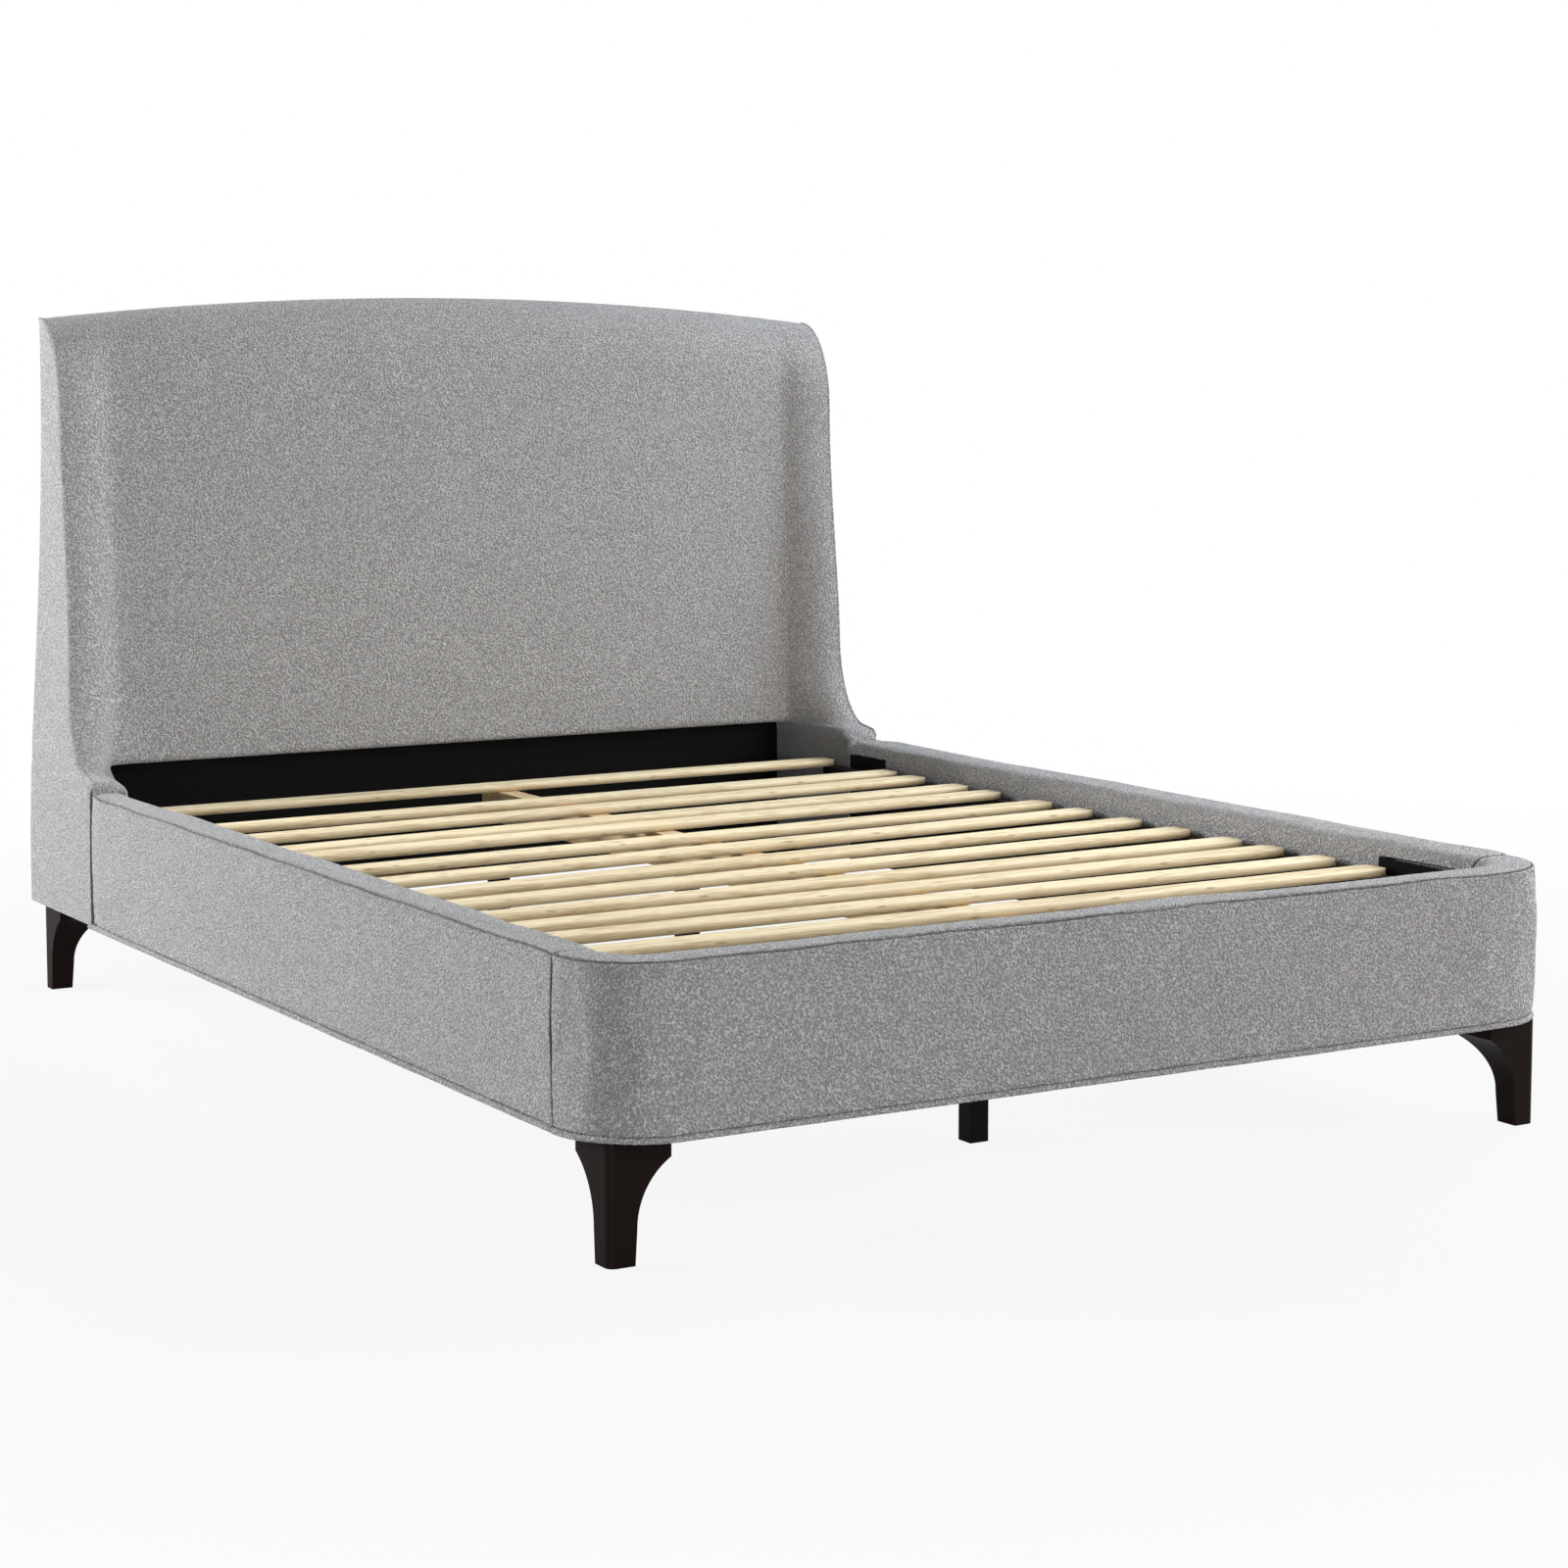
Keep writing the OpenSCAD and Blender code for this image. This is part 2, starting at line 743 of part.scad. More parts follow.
// ----------------------------------------------------- brackets and bolts

// Hanger bolt that joins a leg to the timber above it; extra widens it to a hole
module leg_bolt(corner, dir, extra) {
    inside = [leg_w * 0.45, leg_w * 0.68];
    depth = leg_h / 3;
    translate([corner[0] - inside[0], corner[1] + dir * inside[1], leg_h - depth])
        cylinder(d = bolt_d + extra, h = 2 * depth);
}

module leg_bolts() {
    color("silver") for (side = ["left", "right"]) on(side) {
        leg_bolt([leg_x, leg_front_y], 1, 0);
        leg_bolt([leg_x, leg_rear_y], -1, 0);
    }
}

// Bolt with its head's underside at the origin and its shank along +z
module bolt(extra) {
    translate([0, 0, -bolt_head_h]) cylinder(d = bolt_head_d + extra, h = bolt_head_h);
    cylinder(d = bolt_d + extra, h = bolt_l);
}

// Places two bolts one above the other
module bolt_pair() {
    for (s = [-0.5, 0.5]) translate([0, 0, bracket_z + bracket_h / 2 + s * bolt_pitch_z]) children();
}

// Bolts through a bracket's arm into the board outside it, at y
module side_bolts(y, extra) {
    bolt_pair() translate([board_in_x - bracket_t, y, 0]) rotate([0, 90, 0]) bolt(extra);
}

// Bolts of the right rail's two brackets in the rail
module rail_bolts_one(extra) {
    side_bolts(rail_y1 - bracket_arm + bolt_inset, extra);
    side_bolts(rail_y0 + bracket_arm - bolt_inset, extra);
}

// Bolts of the right head bracket in the wing board
module wing_bolts(extra) {
    bolt_pair() translate([board_in_x - bracket_t, toe_y + bracket_arm - bolt_inset, 0])
        rotate([0, 90, 0]) bolt(extra);
}

// Bolts of the right foot bracket in the corner block
module block_bolts(extra) {
    bolt_pair() translate([well_x - bolt_head_d, rail_y0 + bracket_t, 0])
        rotate([90, 0, 0]) bolt(extra);
}

module rail_bolts() {
    color("silver") for (side = ["left", "right"]) on(side) {
        rail_bolts_one(0);
        wing_bolts(0);
        block_bolts(0);
    }
}

// Flat plate that joins a rail to a wing board
module head_bracket(side) {
    color("black")
    on(side) difference() {
        translate([board_in_x - bracket_t, rail_y1 - bracket_arm, bracket_z])
            cube([bracket_t, 2 * bracket_arm + wing_gap - past, bracket_h]);
        rail_bolts_one(fit);
        wing_bolts(fit);
    }
}

// Angle plate that joins a rail to the footboard's corner block
module foot_bracket(side) {
    arm_x0 = well_x - 2 * bolt_head_d;
    color("black")
    on(side) difference() {
        union() {
            translate([board_in_x - bracket_t, rail_y0, bracket_z])
                cube([bracket_t, bracket_arm, bracket_h]);
            translate([arm_x0, rail_y0, bracket_z]) cube([board_in_x - arm_x0, bracket_t, bracket_h]);
        }
        rail_bolts_one(fit);
        block_bolts(fit);
    }
}

// --------------------------------------------------------------- assembly

headboard_frame();
headboard_panel();
headboard_pad();
headboard_back();
headboard_lower_cloth();
wing_board("left");  // left_wing_board
wing_board("right");  // right_wing_board
wing_pad("left");  // left_wing_pad
wing_pad("right");  // right_wing_pad
wing_welt("left");  // left_wing_welt
wing_welt("right");  // right_wing_welt
rail_board("left");  // left_rail_board
rail_board("right");  // right_rail_board
rail_pad("left");  // left_rail_pad
rail_pad("right");  // right_rail_pad
rail_welt("left");  // left_rail_welt
rail_welt("right");  // right_rail_welt
ledger("left");  // left_ledger
ledger("right");  // right_ledger
rail_inner_cloth("left");  // left_rail_inner_cloth
rail_inner_cloth("right");  // right_rail_inner_cloth
head_bracket("left");  // left_head_bracket
head_bracket("right");  // right_head_bracket
foot_bracket("left");  // left_foot_bracket
foot_bracket("right");  // right_foot_bracket
footboard_core();
footboard_pad();
footboard_welt();
corner_block("left");  // left_corner_block
corner_block("right");  // right_corner_block
leg("left", leg_front_y, 1);  // left_front_leg
leg("right", leg_front_y, 1);  // right_front_leg
leg("left", leg_rear_y, -1);  // left_rear_leg
leg("right", leg_rear_y, -1);  // right_rear_leg
center_beam();
beam_hanger();
center_leg(0);  // center_leg_rear
center_leg(1);  // center_leg_middle
center_leg(2);  // center_leg_front
rail_bolts();
leg_bolts();
for (i = [1:slat_count]) slat(i);
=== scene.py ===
"""Upholstered queen bed in grey boucle: soft covers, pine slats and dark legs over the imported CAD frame.

Metres, +Z up, head of the bed at +Y. Sections follow the order in which the bed is put together.
"""

import bmesh
import bpy
import numpy as np
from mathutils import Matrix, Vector


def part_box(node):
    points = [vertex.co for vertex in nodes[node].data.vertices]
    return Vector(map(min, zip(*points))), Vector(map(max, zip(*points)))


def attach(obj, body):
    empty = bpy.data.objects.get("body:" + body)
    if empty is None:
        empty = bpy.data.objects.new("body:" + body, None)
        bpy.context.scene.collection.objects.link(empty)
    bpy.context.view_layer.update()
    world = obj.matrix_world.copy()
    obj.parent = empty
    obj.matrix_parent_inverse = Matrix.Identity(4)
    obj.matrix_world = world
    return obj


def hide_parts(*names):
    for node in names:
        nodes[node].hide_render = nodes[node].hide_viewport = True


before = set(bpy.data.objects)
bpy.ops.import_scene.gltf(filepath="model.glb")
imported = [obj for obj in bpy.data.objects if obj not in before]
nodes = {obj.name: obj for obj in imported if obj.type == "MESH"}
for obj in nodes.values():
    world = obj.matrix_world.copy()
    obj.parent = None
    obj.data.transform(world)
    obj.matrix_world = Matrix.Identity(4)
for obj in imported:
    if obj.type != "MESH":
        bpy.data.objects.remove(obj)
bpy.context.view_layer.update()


# ---------------------------------------------------------------- side rails and footboard
# Timber boards wrapped in foam and boucle. The cover is an outer face and a top band sewn
# together along the outer top edge, pulled over the soft inner edge and stapled underneath.

rail_lo, rail_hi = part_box("right_rail_pad")
board_lo, board_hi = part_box("right_rail_board")
panel_w = rail_hi.x - rail_lo.x
panel_h = rail_hi.z - rail_lo.z
under_z = rail_lo.z
board_in = rail_hi.x - board_hi.x
board_out = rail_hi.x - board_lo.x
board_top = board_hi.z - under_z
station_step = 0.008


def ripple(s, length, seed):
    """Wave between about -1 and 1 that never repeats: six sines of random phase near one length."""
    dice = np.random.default_rng(seed)
    total = np.zeros_like(s)
    for _ in range(6):
        total += np.sin(2 * np.pi * (s / (length * dice.uniform(0.6, 1.6)) + dice.random()))
    return total / 3


def straight(start, end, count):
    """Evenly spaced points from start up to, but without, end."""
    return np.linspace(start, end, count, endpoint=False)


def arc(centre, radius, first, last, count):
    """Points on a circle about centre, from the first to the last angle in degrees."""
    turn = np.radians(np.linspace(first, last, count))
    return np.array(centre) + radius * np.column_stack([np.cos(turn), np.sin(turn)])


def make_piece(name, points, faces):
    """Closed smooth-shaded mesh object, its faces turned outwards, that rides on the bed."""
    mesh = bpy.data.meshes.new(name)
    mesh.from_pydata(points.tolist(), [], faces)
    shell = bmesh.new()
    shell.from_mesh(mesh)
    bmesh.ops.remove_doubles(shell, verts=shell.verts, dist=1e-6)
    bmesh.ops.recalc_face_normals(shell, faces=shell.faces)
    shell.to_mesh(mesh)
    shell.free()
    mesh.shade_smooth()
    mesh.set_sharp_from_angle(angle=np.radians(60))
    piece = bpy.data.objects.new(name, mesh)
    bpy.context.scene.collection.objects.link(piece)
    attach(piece, "root")
    return piece


def skin_faces(rows, columns):
    """Quads between neighbouring closed sections, with a cap on the first and on the last."""
    at = np.arange(rows * columns).reshape(rows, columns)
    beside = np.roll(at, -1, axis=1)
    quads = np.stack([at[:-1], beside[:-1], beside[1:], at[1:]], axis=-1).reshape(-1, 4)
    return quads.tolist() + [at[0].tolist(), at[-1, ::-1].tolist()]


def skin(name, grid):
    """Closed piece from a grid of points, one closed section a row."""
    rows, columns = grid.shape[:2]
    return make_piece(name, grid.reshape(-1, 3), skin_faces(rows, columns))


# Section of a rail: how far in from the outer face, and how far up from the underside.
# It runs under the hem, round the welt cord, up the barrelled face, into the seam, over
# the top band and the soft inner edge, down the inner face, and back round the board.
cord_r = 0.0045
cord_at = (0.0015, cord_r)
cloth_t = 0.0007
soft_edge_r = 0.026
lower_edge_r = 0.003
seam_in = 0.0058
seam_up = panel_h - 0.0066
hem = 0.0005
slip = 0.0003
face_low = 0.0125
face_high = panel_h - 0.0095
face_barrel = 0.0030
face_up = np.linspace(face_low, face_high, 27)
face_part = (face_up - face_up[0]) / (face_up[-1] - face_up[0])
face_in = 0.0008 - face_barrel * (1 - (2 * face_part - 1) ** 4)
face = np.column_stack([face_in, face_up])
below_seam_r = 0.0045
below_seam = (0.0048, face_high)
above_seam_r = 0.0034
above_seam = (0.0095, panel_h - 0.0044)
band_start = 0.0090
band_part = np.linspace(0, 1, 8)
band_in = band_start + (panel_w - soft_edge_r - band_start) * band_part
band_up = panel_h - 0.0010 * (1 - band_part) + 0.0012 * np.sin(np.pi * band_part)
band = np.column_stack([band_in, band_up])
outside = np.concatenate([
    straight((board_in - slip, hem), (0.0075, hem), 3),
    arc(cord_at, cord_r + cloth_t, -50, 78, 6),
    face,
    arc(below_seam, below_seam_r, 165, 105, 4),
    [[seam_in - 0.0012, seam_up + 0.0012]],
    [[seam_in, seam_up]],
    [[seam_in + 0.0004, seam_up + 0.0024]],
    arc(above_seam, above_seam_r, 165, 100, 4),
    band[1:-1],
    arc((panel_w - soft_edge_r, panel_h - soft_edge_r), soft_edge_r, 90, 0, 11),
    straight((panel_w, panel_h - soft_edge_r - 0.006), (panel_w, 0.004), 20),
    arc((panel_w - lower_edge_r, lower_edge_r + hem), lower_edge_r, 0, -90, 3),
])
inside = np.concatenate([
    straight((board_out + slip, hem), (board_out + slip, board_top + hem), 4),
    straight((board_out + slip, board_top + hem), (board_in - slip, board_top + hem), 4),
    straight((board_in - slip, board_top + hem), (board_in - slip, hem), 4),
])
section = np.concatenate([outside, inside])
is_outside = np.arange(len(section)) < len(outside)
seam_gap = np.hypot(section[:, 0] - seam_in, section[:, 1] - seam_up)
is_seam = is_outside & (seam_gap < 0.0009)
is_hem = is_outside & (section[:, 1] < face_low - 0.001)


def outward(loop):
    """Unit normals of a closed loop of 2D points, from the chord between each point's neighbours."""
    chord = np.roll(loop, -1, axis=0) - np.roll(loop, 1, axis=0)
    normal = np.column_stack([-chord[:, 1], chord[:, 0]])
    return normal / np.linalg.norm(normal, axis=1, keepdims=True)


section_out = outward(section)


def pucker(s, seed):
    """How hard the seam pulls the cover in along its run: short puckers on a slower swing."""
    return 1.0 + 0.35 * ripple(s, 0.011, seed) + 0.25 * ripple(s, 0.070, seed + 1)


def ease(value, start, end):
    """S-curve from 0 at start to 1 at end."""
    part = np.clip((value - start) / (end - start), 0, 1)
    return part * part * (3 - 2 * part)


# How the cloth gives: rounded ends, pull of the seam, puffs under it, slow waves, and sway
end_r = 0.005
seam_reach = 0.0035
seam_pull = 0.0014
puff_h = 0.0005
puff_up = panel_h - 0.016
puff_reach = 0.012
puff_length = 0.034
wave_h = 0.0008
wave_length = 0.42
wave_from = 0.020
slow_sway_h = 0.0026
slow_sway_length = 0.22
quick_sway_h = 0.0009
quick_sway_length = 0.032


def cover_panel(s, place, inwards, seed, drawn_in=0.0):
    """Grid of the section carried along a path.

    A point is place + inwards * in + up, after the seam, the puffs below it and slow waves of
    the cloth have moved it along the section's normal, and the ends have drawn in on a radius
    of end_r. The outer face also comes in by drawn_in towards the far end, and the sewn line
    sways up and down.
    """
    rows = np.repeat(section[None], len(s), axis=0)
    depth = np.zeros((len(s), len(section)))
    near_seam = np.exp(-seam_gap / seam_reach) * is_outside
    depth -= seam_pull * (pucker(s, seed)[:, None] - 0.6) * near_seam
    puffs = np.exp(-np.abs(section[:, 1] - puff_up) / puff_reach) * is_outside * ~is_seam
    depth += puff_h * ripple(s, puff_length, seed + 2)[:, None] * puffs
    slow = [ripple(s + 3.1 * up, wave_length, seed + 3) for up in section[:, 1]]
    slow = np.stack(slow, axis=1)
    free = is_outside & (section[:, 1] > wave_from)
    depth += wave_h * slow * free
    from_end = np.minimum(s - s[0], s[-1] - s)
    tuck = np.clip(end_r - from_end, 0, end_r)
    depth -= (end_r - np.sqrt(end_r**2 - tuck**2))[:, None] * is_outside
    rows += depth[..., None] * section_out
    rows[..., 1] = np.maximum(rows[..., 1], hem)
    draw = drawn_in * ease(s, s[-1] - 8 * drawn_in, s[-1]) if drawn_in else np.zeros_like(s)
    rows[..., 0] += draw[:, None] * np.clip(1 - rows[..., 0] / panel_w, 0, 1) * is_outside
    sway = slow_sway_h * ripple(s, slow_sway_length, seed + 4)
    sway += quick_sway_h * ripple(s, quick_sway_length, seed + 5)
    grid = np.empty(rows.shape[:2] + (3,))
    grid[..., :2] = place[:, None] + inwards[:, None] * rows[..., :1]
    grid[..., 2] = under_z + (rows[..., 1] + sway[:, None] * near_seam)
    return grid


def stations(length):
    """Distances along a run: close together at its rounded ends, evenly spaced between."""
    ends = end_r * (1 - np.cos(np.radians(np.arange(0, 90, 15))))
    middle = np.linspace(end_r, length - end_r, int(length / station_step))
    return np.concatenate([ends, middle, length - ends[::-1]])


def mark(piece, name, values):
    """Stores one number at each vertex for the material to read."""
    layer = piece.data.attributes.new(name, "FLOAT", "POINT")
    layer.data.foreach_set("value", np.ascontiguousarray(values, np.float32))


foam_pressure = 0.10
foam_swell = 0.0025
settling_frames = 20


def stuff(piece, held):
    """Lets the foam press the cover out between its seams with a short cloth simulation.

    Held points stay where they are, and no other point moves further than foam_swell.
    """
    count = len(piece.data.vertices)
    before = np.empty(count * 3)
    piece.data.vertices.foreach_get("co", before)
    pins = piece.vertex_groups.new(name="held")
    pins.add(np.flatnonzero(held).tolist(), 1.0, "REPLACE")
    cloth = piece.modifiers.new("foam", "CLOTH")
    cloth.settings.quality = 4
    cloth.settings.mass = 0.3
    cloth.settings.tension_stiffness = 12
    cloth.settings.compression_stiffness = 12
    cloth.settings.bending_stiffness = 3
    cloth.settings.use_pressure = True
    cloth.settings.uniform_pressure_force = foam_pressure
    cloth.settings.vertex_group_mass = "held"
    cloth.settings.effector_weights.gravity = 0
    cloth.collision_settings.use_collision = False
    cloth.point_cache.frame_end = settling_frames
    for frame_number in range(1, settling_frames + 1):
        bpy.context.scene.frame_set(frame_number)
    shaped = piece.evaluated_get(bpy.context.evaluated_depsgraph_get())
    after = np.empty(count * 3)
    shaped.data.vertices.foreach_get("co", after)
    piece.modifiers.remove(cloth)
    piece.vertex_groups.clear()
    bpy.context.scene.frame_set(1)
    move = (after - before).reshape(-1, 3)
    far = np.linalg.norm(move, axis=1, keepdims=True)
    move *= np.minimum(1, foam_swell / np.maximum(far, 1e-9))
    piece.data.vertices.foreach_set("co", (before.reshape(-1, 3) + move).ravel())
    piece.data.update()


def panel_masks(s, seed):
    """Seam mask and held mask of a panel, point by point.

    Along the seam the mask is partly dark stitching and partly painted shade in the seam's groove, and at
    each end it is painted shade for the gap.
    """
    stitch_and_shade_strength = np.clip(0.90 + 0.35 * ripple(s, 0.014, seed), 0.20, 1)[:, None]
    stitch_and_shade = stitch_and_shade_strength * np.exp(-((seam_gap / 0.0028) ** 2))
    # Painted shade for the gap at each end of the panel
    from_end = np.minimum(s - s[0], s[-1] - s)[:, None]
    stitch_and_shade = np.maximum(stitch_and_shade, np.exp(-((from_end / 0.0010) ** 2))) * is_outside
    held = np.tile(~is_outside | is_seam | is_hem | (seam_gap < 0.004), len(s))
    return stitch_and_shade.ravel(), held


# Along the rail the pockets are measured from its foot end and from its head end
rail_length = rail_hi.y - rail_lo.y
rail_s = stations(rail_length)
rail_drawn_in = 0.008
foot_pocket = 0.220
head_pocket = 0.128
pocket_top = panel_h - soft_edge_r - 0.004
pocket_x = rail_hi.x - board_out - 0.0008
covered = []
for side, sign in (("left", -1), ("right", 1)):
    place = np.column_stack([np.full_like(rail_s, sign * rail_hi.x), rail_lo.y + rail_s])
    inwards = np.tile([-sign, 0.0], (len(rail_s), 1))
    grid = cover_panel(rail_s, place, inwards, 10 + sign, rail_drawn_in)
    # The foam is left out of the bracket pockets, but not at the rail's very foot end
    at_pocket = ((rail_s > 0) & (rail_s < foot_pocket)) | (rail_s > rail_length - head_pocket)
    hollow = at_pocket[:, None] & (section[:, 0] > board_out + 0.001) & (section[:, 1] < pocket_top)
    grid[..., 0] = np.where(hollow, sign * pocket_x, grid[..., 0])
    rail = skin(f"{side}_rail_cover", grid)
    stitch_and_shade, held = panel_masks(rail_s, 20 + sign)
    stuff(rail, held)
    mark(rail, "stitch_and_shade", stitch_and_shade)
    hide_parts(f"{side}_rail_pad")
    covered.append(rail)

foot_lo, foot_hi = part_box("footboard_pad")
corner_r = 0.130
wrap = foot_hi.y - foot_lo.y - corner_r
front_half = foot_hi.x - corner_r
quarter = np.pi / 2 * corner_r
foot_length = 2 * (wrap + quarter + front_half)
foot_s = stations(foot_length)


def round_footboard(s):
    """Place and inward direction on the footboard's outline, from its right end to its left.

    The outline is a short return, a quarter circle and half the front, and then their mirror image.
    """
    along = np.minimum(s, foot_length - s)
    turn = np.clip((along - wrap) / corner_r, 0, np.pi / 2)
    x = front_half + corner_r * np.cos(turn) - np.clip(along - wrap - quarter, 0, None)
    y = foot_lo.y + corner_r * (1 - np.sin(turn)) + np.clip(wrap - along, 0, None)
    flip = np.where(s > foot_length / 2, -1, 1)
    place = np.column_stack([flip * x, y])
    inwards = np.column_stack([-flip * np.cos(turn), np.sin(turn)])
    return place, inwards


foot_place, foot_inwards = round_footboard(foot_s)
footboard = skin("footboard_cover", cover_panel(foot_s, foot_place, foot_inwards, 31))
stitch_and_shade, held = panel_masks(foot_s, 36)
stuff(footboard, held)
mark(footboard, "stitch_and_shade", stitch_and_shade)
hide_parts("footboard_pad")
covered.append(footboard)


def add(tree, kind, inputs=(), **settings):
    """Adds a node, with values or links for the inputs named or numbered in inputs."""
    node = tree.nodes.new("ShaderNode" + kind)
    for key, value in settings.items():
        setattr(node, key, value)
    for key, value in dict(inputs).items():
        if isinstance(value, bpy.types.NodeSocket):
            tree.links.new(value, node.inputs[key])
        else:
            node.inputs[key].default_value = value
    return node


def maths(tree, operation, a, b=0.0, c=0.0):
    """Output of one Math node."""
    return add(tree, "Math", {0: a, 1: b, 2: c}, operation=operation).outputs[0]


def blend(tree, factor, a, b, how="MIX"):
    """Output of one colour Mix node."""
    return add(tree, "Mix", {0: factor, 6: a, 7: b}, data_type="RGBA", blend_type=how).outputs[2]


def spread(tree, value, low, high, to_low=0.0, to_high=1.0):
    """Output of one smooth Map Range node."""
    node = add(tree, "MapRange", {0: value, 1: low, 2: high, 3: to_low, 4: to_high})
    node.interpolation_type = "SMOOTHSTEP"
    return node.outputs[0]


def new_group(name, inputs, outputs):
    """Empty node group with its sockets; returns it with its input and output nodes."""
    group = bpy.data.node_groups.new(name, "ShaderNodeTree")
    for label, kind, value in inputs:
        socket = group.interface.new_socket(label, in_out="INPUT", socket_type="NodeSocket" + kind)
        socket.default_value = value
    for label, kind in outputs:
        group.interface.new_socket(label, in_out="OUTPUT", socket_type="NodeSocket" + kind)
    return group, group.nodes.new("NodeGroupInput"), group.nodes.new("NodeGroupOutput")


# Grey boucle: slanted strands and curled loops a few millimetres long over a darker ground
# weave. The loops lie flat along a seam. Dark stitching and painted shade in seams, gaps and hollows
# darken the colour.
strand_way = (0.577, 0.577, -0.577)
boucle, given, result = new_group(
    "boucle",
    [
        ("Yarn", "Color", (0.5, 0.5, 0.5, 1)),
        ("Ground", "Color", (0.2, 0.2, 0.2, 1)),
        ("Seam", "Float", 0.0),
    ],
    [("Color", "Color"), ("Height", "Float")],
)
where = add(boucle, "TexCoord").outputs["Object"]
run = add(boucle, "VectorMath", {0: where, 1: strand_way}, operation="DOT_PRODUCT").outputs["Value"]
slack = maths(boucle, "MULTIPLY", run, 0.6)
slack = add(boucle, "VectorMath", {0: strand_way, "Scale": slack}, operation="SCALE").outputs[0]
pulled = add(boucle, "VectorMath", {0: where, 1: slack}, operation="SUBTRACT").outputs[0]
strands = add(boucle, "TexNoise", {"Vector": pulled, "Scale": 360.0, "Detail": 1.5, "Distortion": 0.25})
strands = spread(boucle, strands.outputs[0], 0.31, 0.69)
loops = add(boucle, "TexVoronoi", {"Vector": pulled, "Scale": 320.0, "Randomness": 1.0})
loop_top = spread(boucle, loops.outputs["Distance"], 0.75, 0.15)
fuzz = add(boucle, "TexNoise", {"Vector": where, "Scale": 700.0, "Detail": 1.0}).outputs[0]
height = maths(boucle, "MULTIPLY_ADD", loop_top, 0.24, maths(boucle, "MULTIPLY", strands, 0.56))
height = maths(boucle, "MULTIPLY_ADD", fuzz, 0.20, height)
open_weave = maths(boucle, "SUBTRACT", 1.0, given.outputs["Seam"])
height = maths(boucle, "MULTIPLY", height, open_weave)
shade = spread(boucle, height, 0.16, 0.84)
colour = blend(boucle, shade, given.outputs["Ground"], given.outputs["Yarn"])
each_loop = add(boucle, "SeparateColor", {0: loops.outputs["Color"]}).outputs[0]
loop_tone = add(boucle, "MapRange", {0: each_loop, 3: 0.90, 4: 1.10}).outputs[0]
cloud = add(boucle, "TexNoise", {"Vector": where, "Scale": 9.0, "Detail": 3.0}).outputs[0]
cloud_tone = add(boucle, "MapRange", {0: cloud, 3: 0.95, 4: 1.05}).outputs[0]
loop_tone = maths(boucle, "MULTIPLY", loop_tone, cloud_tone)
toned = add(boucle, "VectorMath", {0: colour, "Scale": loop_tone}, operation="SCALE").outputs[0]
# Painted shade and dark stitching: where this mask is high, the colour goes nearly black
stitch_and_shade_share = maths(boucle, "MULTIPLY", given.outputs["Seam"], 0.9)
stitched_and_shaded = blend(boucle, stitch_and_shade_share, toned, (0.03, 0.03, 0.032, 1))
boucle.links.new(stitched_and_shaded, result.inputs["Color"])
boucle.links.new(height, result.inputs["Height"])


def material(name, roughness, specular=0.5):
    """New material; returns it with its tree and its Principled shader."""
    made = bpy.data.materials.new(name)
    made.use_nodes = True
    shader = made.node_tree.nodes["Principled BSDF"]
    shader.inputs["Roughness"].default_value = roughness
    shader.inputs["Specular IOR Level"].default_value = specular
    return made, made.node_tree, shader


def bump(tree, shader, height, strength, distance):
    """Feeds a height in units of distance to the shader's normal."""
    relief = add(tree, "Bump", {"Height": height, "Strength": strength, "Distance": distance})
    tree.links.new(relief.outputs[0], shader.inputs["Normal"])


boucle_cloth, tree, shader = material("grey_boucle", 0.95, 0.15)
shader.inputs["Sheen Weight"].default_value = 0.25
shader.inputs["Sheen Roughness"].default_value = 0.6
weave = tree.nodes.new("ShaderNodeGroup")
weave.node_tree = boucle
weave.inputs["Yarn"].default_value = (0.84, 0.834, 0.85, 1)
weave.inputs["Ground"].default_value = (0.39, 0.384, 0.395, 1)
tree.links.new(add(tree, "Attribute", attribute_name="stitch_and_shade").outputs["Fac"], weave.inputs["Seam"])
tree.links.new(weave.outputs["Color"], shader.inputs["Base Color"])
bump(tree, shader, weave.outputs["Height"], 1.0, 0.0080)
for piece in covered:
    piece.data.materials.append(boucle_cloth)


# ---------------------------------------------------------------- welt cords
# Piping cord in a strip of the same boucle, sewn into the bottom edge of the rails and the
# footboard, and into the front edge of each wing.

cord_step = 0.006
cord_end = 0.001
cord_sag = 0.0003


def run_length(points):
    """Distance along a line at each of its points."""
    return np.concatenate([[0], np.cumsum(np.linalg.norm(np.diff(points, axis=0), axis=1))])


def cord_surface(path, radius, seed):
    """Grid of a round cord along a path: rings of slightly uneven radius, square to the path.

    A ring's first axis is square to the path and to X on a straight rail or wing, and square
    to the path and to Z on the cord that turns the footboard's corners.
    """
    ahead = np.gradient(path, axis=0)
    ahead /= np.linalg.norm(ahead, axis=1, keepdims=True)
    stays_in_plane = np.ptp(path[:, 0]) < 0.05
    sideways = np.cross(ahead, [1.0, 0.0, 0.0] if stays_in_plane else [0.0, 0.0, 1.0])
    sideways /= np.linalg.norm(sideways, axis=1, keepdims=True)
    upwards = np.cross(sideways, ahead)
    turn = np.linspace(0, 2 * np.pi, 12, endpoint=False)[:, None]
    swell = radius * (1 + 0.05 * ripple(run_length(path), 0.012, seed))
    ring = np.cos(turn) * sideways[:, None] + np.sin(turn) * upwards[:, None]
    return path[:, None] + swell[:, None, None] * ring


cords = []
for side, sign in (("left", -1), ("right", 1)):
    y = np.arange(rail_lo.y + cord_end, rail_hi.y - cord_end, cord_step)
    path = np.column_stack([
        np.full_like(y, sign * (rail_hi.x - cord_at[0])),
        y,
        under_z + cord_at[1] + cord_sag * ripple(y, 0.2, 50 + sign),
    ])
    welt = skin(f"{side}_rail_piping", cord_surface(path, cord_r, 60 + sign))
    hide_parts(f"{side}_rail_welt")
    cords.append(welt)

